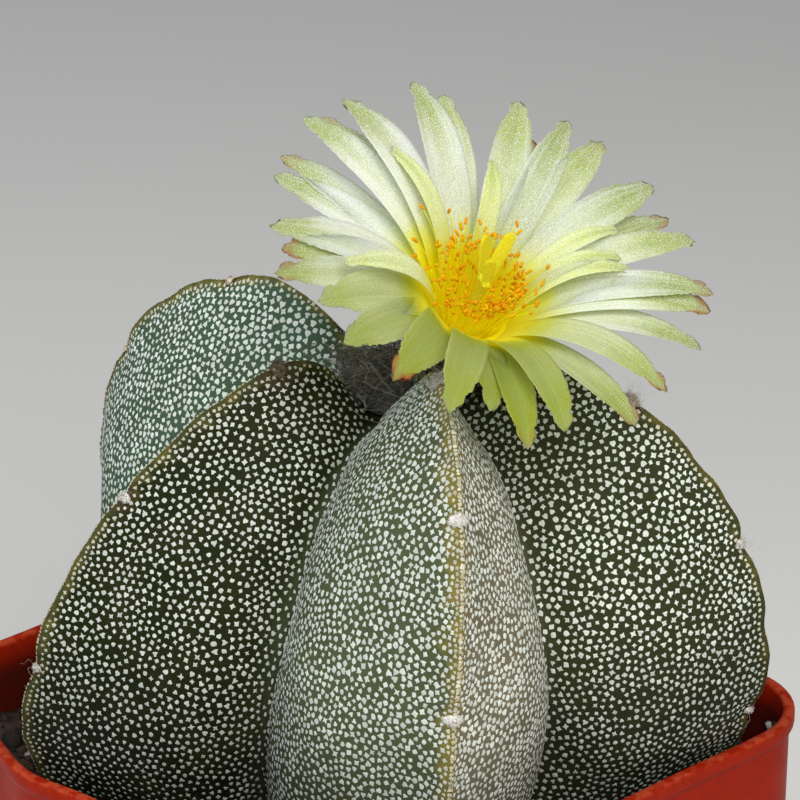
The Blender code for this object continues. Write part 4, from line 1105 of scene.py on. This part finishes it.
# Petals
# Two whorls of satin petals and a few narrow inner ones, nearly even in width past a narrower foot,
# blunt and toothed at the end. They are yellow at the foot, silvery in the middle and pale green
# outside, greener and darker in front, partly as painted shade, and some are tinged red at the tip.
# Those at the upper left are painted lighter and those at the upper right duller, as painted light and shade.
UPPER_PETALS = (
    (86, 25.5, 17), (54, 25.5, 12), (40, 25.5, 12), (12, 25.5, 12), (-12, 25.5, 15), (-36, 25.6, 17),
    (-68, 25.5, 18), (-101, 25.5, 17), (-112, 25.5, 12), (-132, 25.5, 17), (-149, 21.5, 11),
    (177, 21.5, 9), (150, 25.5, 9), (133, 26.2, 5), (120, 27.4, 15), (110, 26.0, 20),
)
LOWER_PETALS = (
    (75, 25.5, 9), (47, 23.5, 4), (30, 25.5, 12), (3, 25.5, 8), (-31, 25.8, 19), (-49, 25.5, 15),
    (-79, 25.5, 12), (-121, 21.5, 14), (-169, 21.5, 8), (166, 25.5, 8), (155, 24.0, 8),
    (127, 26.7, 6), (115, 26.2, 13),
)
INNER_PETALS = (
    (110, 19.3, 24), (64, 15.6, 21), (-2, 17.5, 20), (-17, 16.2, 22), (-25, 17.0, 22), (167, 18.9, 18),
)
UPPER_WIDTH, LOWER_WIDTH, INNER_WIDTH, FULL_LENGTH = 0.0045, 0.0043, 0.0023, 25.5
# How red the tip of a petal is, by its turn
ROSY_TIPS = {47: 0.9, 3: 0.7, -36: 0.9, -68: 0.7, -79: 0.5, -112: 0.3, -149: 1.0, 166: 0.5, 155: 0.8,
             127: 0.5, 115: 0.4, -31: 0.6, 30: 0.3}
PETAL_ROOT, PETAL_CLIMB, PETAL_ARCH = (0.0036, -0.0066), (0.0012, 0.0055), (0.0, 0.0016)
LAYER_DROP, PETAL_SWAY = 0.0007, 0.00035
PETAL_STEPS, PETAL_STRIPS, TIP_CROWDING = 84, 7, 1.3
PETAL_WAIST, PETAL_WIDEST, PETAL_THICKNESS, PETAL_CUP = 0.70, 0.64, 0.00030, 0.17
THIN_TIP, THIN_POWER = 0.85, 8
# Where along a petal its end begins, how round that is, and how far its corners stay back
TIP_START, TIP_POWER, TIP_LEAST, TIP_ROUND, ROUND_START = 0.72, 2.3, 0.55, 0.0012, 0.80
# Teeth along the margin, which start and fade by these shares of the petal, ragged end and small point
FRINGE_DEPTH, FRINGE_RUN, FRINGE_FADE, RAGGED_START = 0.00030, 0.2, 0.05, 0.94
MUCRO, MUCRO_START = 0.00025, 0.95
SWAY_DEPTH, GROOVE_DEPTH, GROOVE_WIDTH, GROOVE_START, GROOVE_RUN = 0.00011, 0.00012, 0.16, 0.35, 0.4
LEFT_TWIST, ANY_TWIST = 0.40, 0.11          # radians: how far the petals on the left face forward at the tip
# Petals towards the upper left are painted lighter and those towards the upper right duller: painted light
# and shade.
FRONT_TURN, HIGH_TURN, PAINTED_LIGHT_TURN, PAINTED_SHADE_TURN = -132, 40, 150, 45         # degrees round the flower
CUP = ((-0.0094, 0.0016), (-0.0094, 0.0026), (-0.0086, 0.0033), (-0.0068, 0.0039), (-0.0048, 0.0043),
       (-0.0040, 0.0047), (-0.0039, 0.0040), (-0.0050, 0.0034), (-0.0070, 0.0029), (-0.0086, 0.0022),
       (-0.0087, 0.0010))
THROAT_YELLOW, FOOT_LEMON, SILVER = (0.78, 0.67, 0.002), (0.72, 0.76, 0.15), (0.72, 0.77, 0.56)
OUTER_GREEN, TIP_GREEN, LEMON_GREEN = (0.29, 0.37, 0.10), (0.27, 0.34, 0.085), (0.66, 0.75, 0.19)
# The front petals' green is partly their own yellow-green and partly painted shade.
FRONT_GREEN_AND_SHADE, ROSY = (0.21, 0.265, 0.012), (0.26, 0.025, 0.012)
BACK_GREEN, STREAK_SILVER, SPARKLE = (0.36, 0.44, 0.11), (0.90, 0.93, 0.80), (0.92, 0.94, 0.88)
DARK_GRAIN = (0.28, 0.34, 0.14)
# Light that comes through the petals, as a share of their own colour and as the yellow of their feet
PETAL_GLOW, THROUGH_LIGHT, FOOT_GLOW = 0.20, 0.55, (0.75, 0.62, 0.0)


def satin(wire):
    """Satin petal: yellow, silver and green along it, streaked lengthwise and sparkling finely. Its marks
    turn it gold or lemon, paler as painted light, duller as painted shade, greener in front, partly as
    painted shade, and its tip red."""
    along, across, own = wire.mark("along"), wire.mark("across"), wire.mark("own")
    green, face = wire.mark("green"), wire.mark("face")
    ragged = along + (wire.grain(420, 3) - 0.5) * 0.14 + wire.mark("gold") * (along - 1) * 0.36
    colour = ragged.node("ValToRGB", {0: ragged}, stops=(
        (0.20, THROAT_YELLOW), (1.0, TIP_GREEN), (0.34, FOOT_LEMON), (0.52, SILVER), (0.70, SILVER),
        (0.87, OUTER_GREEN)))
    middle = ragged.between(0.34, 0.50) * ragged.between(0.95, 0.75)
    # Painted light: the upper-left petals paler in the middle. Painted shade: the upper-right ones duller.
    colour = (wire.mark("pale") * middle * 0.7).mixed(colour, STREAK_SILVER)
    colour = (wire.mark("dull") * middle * 0.35).mixed(colour, OUTER_GREEN)
    colour = (wire.mark("lemon") * (0.55 + 0.45 * wire.grain(500, 3))).mixed(colour, LEMON_GREEN)
    # Greener and darker in front: partly own colour, partly painted shade.
    colour = (green * ragged.between(0.10, 0.34)).mixed(colour, FRONT_GREEN_AND_SHADE)
    lines = wire.node("CombineXYZ", {0: across * 5 + own * 40, 1: along * 1.2, 2: own * 9})
    streak = wire.grain(1.6, 2.0, lines)
    sparkle = wire.grain(8500, 1)
    silver = streak.between(0.40, 0.70) * ragged.between(0.30, 0.50) * (1 - green)
    colour = (silver * 0.35).mixed(colour, STREAK_SILVER)
    green_midrib = (across * across).between(0.30, 0.0) * along.between(0.55, 0.85)
    colour = (green_midrib * 0.40).mixed(colour, TIP_GREEN)
    frost = ragged.between(0.25, 0.45) * face * (1 - 0.95 * green)
    colour = (sparkle.between(0.45, 0.35) * frost * 0.40).mixed(colour, DARK_GRAIN)
    colour = (sparkle.between(0.54, 0.66) * frost * 0.65).mixed(colour, SPARKLE)
    colour = ((1 - face) * 0.55).mixed(colour, BACK_GREEN)
    edge = along + across * across * 0.05 + (wire.grain(900, 2) - 0.5) * 0.06
    colour = (edge.between(0.955, 1.02) * wire.mark("rosy")).mixed(colour, ROSY)
    through = wire.node("Mix", {0: THROUGH_LIGHT, 6: (0.0, 0.0, 0.0), 7: colour}, 2, data_type="RGBA")
    return {"Base Color": colour, "Roughness": 0.42 + 0.22 * sparkle,
            "Emission Color": ragged.between(0.45, 0.10).mixed(through, FOOT_GLOW),
            "Normal": (streak * 0.4 + sparkle * 0.6).bump(0.00016)}


rng = np.random.default_rng(97)
whorls = ((UPPER_PETALS, UPPER_WIDTH, 0), (LOWER_PETALS, LOWER_WIDTH, 1), (INNER_PETALS, INNER_WIDTH, -1))
table = np.array([(*petal, width, layer) for whorl, width, layer in whorls for petal in whorl])
turns, lengths, lifts, widths, layers = table.T
count = len(table)
bearing, lift = np.radians(turns), np.radians(lifts)
widths = np.where(layers < 0, widths, widths * FULL_LENGTH / lengths) * rng.uniform(0.94, 1.06, count)
scale = (widths / UPPER_WIDTH)[:, None]
tips = (lengths * MM)[:, None] * np.stack([np.cos(lift), np.sin(lift)], axis=1)
under = np.stack([np.zeros(count), layers * LAYER_DROP], axis=1)
s = 1 - (1 - np.linspace(0, 1, PETAL_STEPS)) ** TIP_CROWDING
root = np.array(PETAL_ROOT) + np.zeros((count, 2))
posts = (root, root + PETAL_CLIMB - under, tips * (0.5, 1) + PETAL_ARCH - under, tips)
sway = rng.normal(scale=PETAL_SWAY, size=(count, 1)) * s ** 2
middle = np.concatenate([bezier(s[:, None], *(post[:, None] for post in posts)), sway[..., None]], axis=2)
swell = np.sin(math.pi / 2 * (s / PETAL_WIDEST).clip(0, 1)) ** 2
power = TIP_POWER * rng.uniform(0.8, 1.25, (count, 1)) * np.where(layers < 0, 0.7, 1)[:, None]
taper = np.maximum(np.sqrt(1 - ramp(s, TIP_START, 1 - TIP_START) ** power), TIP_LEAST)
half = widths[:, None] / 2 * (PETAL_WAIST + (1 - PETAL_WAIST) * swell) * taper
sides = []
for _ in range(2):
    teeth = FRINGE_DEPTH * rng.random((count, PETAL_STEPS)) * ramp(s, TIP_START, FRINGE_RUN)
    teeth *= ((1 - s) / FRINGE_FADE).clip(0.3, 1) * scale
    uneven = 1 + 0.05 * np.sin(s * rng.uniform(5, 9, (count, 1)) + rng.uniform(0, 6, (count, 1)))
    sides.append(np.maximum(half * uneven - teeth, LEAST_HALF_WIDTH + 0.00001))
v = np.linspace(-1, 1, 2 * PETAL_STRIPS + 1)
t = s[:, None]
ragged = FRINGE_DEPTH * rng.uniform(-1, 1, (count, 1, len(v))) * ramp(t, RAGGED_START, 1 - RAGGED_START)
point = MUCRO * (1 - np.abs(v) * PETAL_STRIPS / 2).clip(0, 1) * ramp(t, MUCRO_START, 1 - MUCRO_START)
rounding = TIP_ROUND * np.abs(v) ** 1.6 * ramp(t, ROUND_START, 1 - ROUND_START) ** 2
ahead = (ragged + point - rounding) * scale[..., None]
depth, pace = rng.uniform(0.5, 1.4, (count, 1, 1)), rng.uniform(5, 12, (count, 1, 1))
wave = depth * np.sin(t * pace + 2.5 * v + rng.uniform(0, 6, (count, 1, 1)))
groove = -np.exp(-(v / GROOVE_WIDTH) ** 2) * ramp(t, GROOVE_START, GROOVE_RUN)
groove = groove * rng.uniform(0.3, 1.0, (count, 1, 1))
ripple = SWAY_DEPTH * wave * v ** 2 * t + GROOVE_DEPTH * groove
leftward = (-np.cos(bearing)).clip(0)[:, None]
twist = ((rng.normal(scale=ANY_TWIST, size=(count, 1)) - LEFT_TWIST * leftward) * s)[..., None]
petal_grid, across = blades(middle, bearing, *sides, PETAL_THICKNESS * (1 - THIN_TIP * t ** THIN_POWER),
                            PETAL_CUP, PETAL_STRIPS, twist, ripple, ahead)
columns = petal_grid.shape[2]


def toward(turn):
    """How far each petal lies towards a turn in degrees, from 0 beside it to 1: the cosine between."""
    return np.cos(np.radians(turns - turn)).clip(0)


own = rng.random(count)
low_side = (0.5 - 0.5 * np.cos(np.radians(turns - HIGH_TURN))) ** 2.0
petal_marks = {
    "own": own, "gold": np.where(layers < 0, 0.5, 0.4 * rng.random(count) ** 2 + 1.2 * low_side),
    # Painted light and painted shade by the petal's turn.
    "pale": toward(PAINTED_LIGHT_TURN), "dull": toward(PAINTED_SHADE_TURN) ** 2,
    "lemon": np.where(layers < 0, 1.0, 0.35 * rng.random(count) ** 3),
    # Greener in front, partly painted shade.
    "green": toward(FRONT_TURN) ** 0.8 * rng.uniform(0.85, 1.0, count) * (layers >= 0),
    "rosy": np.array([ROSY_TIPS.get(int(turn), 0.0) for turn in turns]),
}
marks = {name: values[:, None, None] for name, values in petal_marks.items()}
marks.update(along=t, across=across, face=(np.arange(columns) < columns // 2).astype(float))
petal_satin = finish("petal_satin", satin, Subsurface_Weight=0.5, Subsurface_Scale=0.0018,
                     Specular_IOR_Level=0.1, Subsurface_Radius=(1.0, 0.9, 0.35), Emission_Strength=PETAL_GLOW)
petals = piece("satin_petals", in_flower(petal_grid), petal_satin, marks)
cup_marks = {**dict.fromkeys(marks, 0.0), "along": 0.05, "own": 0.5, "face": 1.0, "gold": 0.5}
cup = piece("flower_cup", in_flower(turned(eased(CUP, 0.0003, 0.0004), 64)), petal_satin, cup_marks)
for bloom in (petals, cup):
    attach(bloom, "root")
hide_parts("petals")


# Stamens
# Three hundred thread-like yellow filaments rise from the bowl, the outer ones long and leaning back
# on the petals, each tipped with an oblong anther full of orange pollen.
INNER_STAMENS = 270
FAR_SIDE = math.radians(110)        # the turn at which the stamens stand tallest
CROWD_BEHIND = 0.35                 # radians by which they crowd towards that side
INNER_REACH, INNER_REACH_RUN, INNER_REACH_STRAY, FRONT_DRAW = 0.0016, 0.0044, 0.0005, 0.32
INNER_HEIGHT, INNER_HEIGHT_RUN, INNER_HEIGHT_STRAY = 0.0004, 0.0014, 0.0008
FAR_RISE, FRONT_RISE = 0.0016, 0.0019
# Roots on the bowl, farther out and higher for the anthers that stand farther out, and the bend between
ROOT_START, ROOT_RUN, ROOT_REACH, ROOT_REACH_RUN = 0.0022, 0.0040, 0.0014, 0.0022
ROOT_HEIGHT, ROOT_RISE, BEND_RISE, BEND_REACH, BEND_DRAW = -0.0062, 0.0020, 0.0012, 0.005, 0.05
FILAMENT_RADIUS, ANTHER_RADIUS, ANTHER_LENGTH, INNER_ANTHERS = 0.000085, 0.00018, 0.00092, 0.92
FILAMENT_STEPS, FILAMENT_SIDES, ANTHER_STEPS, ANTHER_SIDES = 8, 5, 7, 8
FILAMENT_GLOW = 0.25        # light that comes through the threads
DISC = ((-0.0084, 0.0012), (-0.0084, 0.0018), (-0.0070, 0.0024), (-0.0058, 0.0027), (-0.0057, 0.0012))
BOWL_FOOT, BOWL_SLOPE = 0.0024, 0.30        # height of the outer anthers at the axis, and its slope
# Outer anthers, where the photograph shows them against the petals
ANTHER_PIXELS = (
    (422, 207), (449, 211), (466, 221), (461, 226), (457, 233), (480, 222), (440, 245), (451, 245),
    (415, 240), (415, 256), (448, 253), (458, 254), (517, 224), (519, 232), (495, 236), (500, 251),
    (495, 256), (487, 269), (518, 255), (516, 268), (515, 277), (529, 272), (548, 267), (543, 283),
    (536, 292), (537, 304), (531, 313), (524, 306), (428, 268), (432, 281),
)
THREAD_GOLD, THREAD_LEMON = (0.70, 0.48, 0.002), (0.64, 0.62, 0.004)
POLLEN_ORANGE, POLLEN_GOLD, POLLEN_DEEP = (0.88, 0.34, 0.003), (0.88, 0.52, 0.004), (0.72, 0.20, 0.002)


def filament(wire):
    """Yellow threads, gold to lemon."""
    tint = wire.grain(700, 2)
    colour = tint.mixed(THREAD_GOLD, THREAD_LEMON)
    return {"Base Color": colour, "Emission Color": colour, "Roughness": 0.4 + 0.2 * tint}


def pollen(wire):
    """Orange anthers, grainy with pollen."""
    grain = wire.grain(6500, 2)
    tone = wire.mark("tone").mixed(POLLEN_ORANGE, POLLEN_GOLD)
    return {"Base Color": (grain.between(0.55, 0.7) * 0.4).mixed(tone, POLLEN_DEEP),
            "Roughness": 0.7 + 0.2 * grain, "Normal": grain.bump(0.00012)}


rng = np.random.default_rng(113)
share = np.sqrt((np.arange(INNER_STAMENS) + 0.5) / INNER_STAMENS)
turn = np.arange(INNER_STAMENS) * GOLDEN_TURN
turn += CROWD_BEHIND * np.sin(turn - FAR_SIDE)
spread = INNER_REACH + INNER_REACH_RUN * share + rng.normal(scale=INNER_REACH_STRAY, size=INNER_STAMENS)
behind = np.cos(turn - FAR_SIDE) * share
spread *= 1 - FRONT_DRAW * (-behind).clip(0)
height = INNER_HEIGHT + INNER_HEIGHT_RUN * share ** 2 + FAR_RISE * behind
height += rng.normal(scale=INNER_HEIGHT_STRAY, size=INNER_STAMENS) + FRONT_RISE * (-behind).clip(0)
inner_tips = outward_ways(turn) * spread[:, None] + height[:, None] * [0, 0, 1]
sight = pixel_sight(*np.array(ANTHER_PIXELS, float).T)
reach = np.linspace(0.9, 1.1, 900) * np.linalg.norm(THROAT - camera_place)
looked = (camera_place + sight[:, None] * reach[:, None] - THROAT) @ flower_axes
over_bowl = looked[..., 2] - BOWL_FOOT - BOWL_SLOPE * np.hypot(looked[..., 0], looked[..., 1])
outer_tips = looked[np.arange(len(looked)), np.argmax(over_bowl < 0, axis=1)]
stamen_tips = np.concatenate([inner_tips, outer_tips])
stamen_count = len(stamen_tips)
flat = stamen_tips * [1, 1, 0]
distance = np.linalg.norm(flat, axis=1, keepdims=True)
moved = ramp(distance, ROOT_START, ROOT_RUN)
root = flat / distance * (ROOT_REACH + ROOT_REACH_RUN * moved) + [0, 0, ROOT_HEIGHT]
root = root + moved * [0, 0, ROOT_RISE]
lifted = np.array([0, 0, BEND_RISE]) * (distance / BEND_REACH)
bend = 0.5 * root + 0.5 * stamen_tips + lifted - flat * BEND_DRAW
t = np.linspace(0, 1, FILAMENT_STEPS)[:, None]
paths = bezier(t, root[:, None], bend[:, None], stamen_tips[:, None])
girth = np.linspace(1.25, 0.8, FILAMENT_STEPS) * FILAMENT_RADIUS
thread = finish("filament", filament, Subsurface_Weight=0.7, Subsurface_Scale=0.003, Specular_IOR_Level=0.1,
                Emission_Strength=FILAMENT_GLOW)
filaments = piece("filaments", strands(in_flower(paths), girth, FILAMENT_SIDES), thread)
ahead = unit(paths[:, -1] - paths[:, -2]) + rng.normal(scale=0.45, size=(stamen_count, 3))
u = np.linspace(-0.5, 0.5, ANTHER_STEPS)
plump = np.sqrt((1 - (2.05 * u) ** 4).clip(0.05, 1)) * (1 - 0.12 * np.cos(4 * math.pi * u))
stature = np.where(np.arange(stamen_count) < INNER_STAMENS, INNER_ANTHERS, 1.0)[:, None]
length = ANTHER_LENGTH * rng.uniform(0.75, 1.2, (stamen_count, 1)) * stature
anther_paths = stamen_tips[:, None] + unit(ahead)[:, None] * (u * length)[..., None]
girth = ANTHER_RADIUS * rng.uniform(0.85, 1.2, (stamen_count, 1)) * stature
tone = rng.random(stamen_count)[:, None, None]
anthers = piece("anthers", strands(in_flower(anther_paths), plump * girth, ANTHER_SIDES),
                finish("pollen", pollen, Specular_IOR_Level=0.1), {"tone": tone})
disc = piece("stamen_disc", in_flower(turned(eased(DISC, 0.0003, 0.0004), 40)), thread)
for part in (filaments, anthers, disc):
    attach(part, "root")
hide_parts("stamens")


# Pistil
# A stout yellow style stands in the middle of the stamens, with broad soft stigma lobes that open
# like a hand and are covered in fine papillae.
STYLE_FOOT, STYLE_HEAD, STYLE_RADIUS = -0.0084, 0.0002, 0.0006
LOBE_STEPS, LOBE_STRIPS, LOBE_THICKNESS, LOBE_CUP = 24, 5, 0.00055, 0.2
# Turn, lean, width and length of each lobe
LOBES = ((114, 15, 0.0021, 0.0090), (34, 24, 0.0015, 0.0088), (74, 8, 0.0016, 0.0056),
         (165, 14, 0.0014, 0.0040), (230, 12, 0.0013, 0.0028), (300, 12, 0.0013, 0.0026))
STIGMA_YELLOW, STIGMA_PALE = (0.56, 0.50, 0.004), (0.62, 0.58, 0.02)
STIGMA_GLOW = 0.25          # light that comes through the lobes


def papillae(wire):
    """Soft yellow with fine bumps."""
    fine = wire.grain(5200, 2)
    colour = fine.between(0.3, 0.7).mixed(STIGMA_YELLOW, STIGMA_PALE)
    return {"Base Color": colour, "Emission Color": colour, "Roughness": 0.55 + 0.25 * fine,
            "Normal": fine.bump(0.00010)}


stigma = finish("stigma", papillae, Subsurface_Weight=0.5, Subsurface_Scale=0.0015, Specular_IOR_Level=0.2,
                Emission_Strength=STIGMA_GLOW)
style_grid = turned(eased(((STYLE_FOOT, 0.0002), (STYLE_FOOT, STYLE_RADIUS), (STYLE_HEAD, STYLE_RADIUS),
                           (STYLE_HEAD + STYLE_RADIUS, 0.0003)), 0.0002, 0.0005), 24)
style = piece("style", in_flower(style_grid), stigma)
turns, leans, widths, lengths = np.array(LOBES).T[..., None]
t = np.linspace(0, 1, LOBE_STEPS)
open_out = lengths * np.sin(np.radians(leans)) * t ** 1.3
rise = STYLE_HEAD - 2 * STYLE_RADIUS + lengths * np.cos(np.radians(leans)) * t
broad = 0.5 + 0.5 * np.sin(math.pi / 2 * (t / 0.6).clip(0, 1))
half = widths / 2 * broad * np.sqrt(1 - 0.97 * t ** 12)
lobe_grid, _ = blades(np.stack([open_out, rise, 0 * rise], axis=2), np.radians(turns[:, 0]), half, half,
                      LOBE_THICKNESS, LOBE_CUP, LOBE_STRIPS)
lobes = piece("stigma_lobes", in_flower(lobe_grid), stigma)
for part in (style, lobes):
    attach(part, "root")
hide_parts("pistil")


# Floor and light
# A plain pale floor, a soft light over the camera's right shoulder, and a cooler one farther off at
# the left.
FLOOR_REACH, FLOOR_LINES = 3, 13
FLOOR_PALE, FLOOR_CLOUD = (0.84, 0.83, 0.81), (0.70, 0.69, 0.67)
SKY_COLOUR, SKY_STRENGTH = (0.93, 0.95, 1.0, 1), 0.19


def pale_floor(wire):
    """Matt pale ground, almost even."""
    return {"Base Color": (wire.grain(6, 3) * 0.25).mixed(FLOOR_PALE, FLOOR_CLOUD)}


span = np.linspace(-FLOOR_REACH, FLOOR_REACH, FLOOR_LINES)
floor_points = np.stack([*np.meshgrid(span, span), np.zeros((FLOOR_LINES, FLOOR_LINES))], axis=-1)
index = np.arange(FLOOR_LINES ** 2).reshape(FLOOR_LINES, FLOOR_LINES)
tiles = np.stack([index[:-1, :-1], index[:-1, 1:], index[1:, 1:], index[1:, :-1]], axis=-1).reshape(-1, 4)
floor = piece("floor", floor_points, finish("floor", pale_floor, Roughness=0.85), faces=[tiles])


def soft_light(name, bearing, rise, distance, size, power, tint):
    """Square area light that looks at the crown from a bearing seen from the camera."""
    light = bpy.data.lights.new(name, "AREA")
    light.shape, light.size, light.energy, light.color = "SQUARE", size, power, tint
    lamp = bpy.data.objects.new(name, light)
    bpy.context.scene.collection.objects.link(lamp)
    turn = camera_turn + math.radians(bearing)
    level = math.cos(math.radians(rise))
    towards = Vector((math.sin(turn) * level, -math.cos(turn) * level, math.sin(math.radians(rise))))
    lamp.location = aim + towards * distance
    lamp.rotation_euler = towards.to_track_quat("Z", "Y").to_euler()


soft_light("key", 16, 46, 0.62, 0.40, 3.7, (1.0, 0.97, 0.92))
soft_light("fill", -75, 38, 0.9, 0.50, 3.5, (0.90, 0.97, 1.0))
world = bpy.data.worlds.new("studio")
world.use_nodes = True
world.node_tree.nodes["Background"].inputs["Color"].default_value = SKY_COLOUR
world.node_tree.nodes["Background"].inputs["Strength"].default_value = SKY_STRENGTH
bpy.context.scene.world = world
bpy.context.scene.view_settings.view_transform = "Standard"
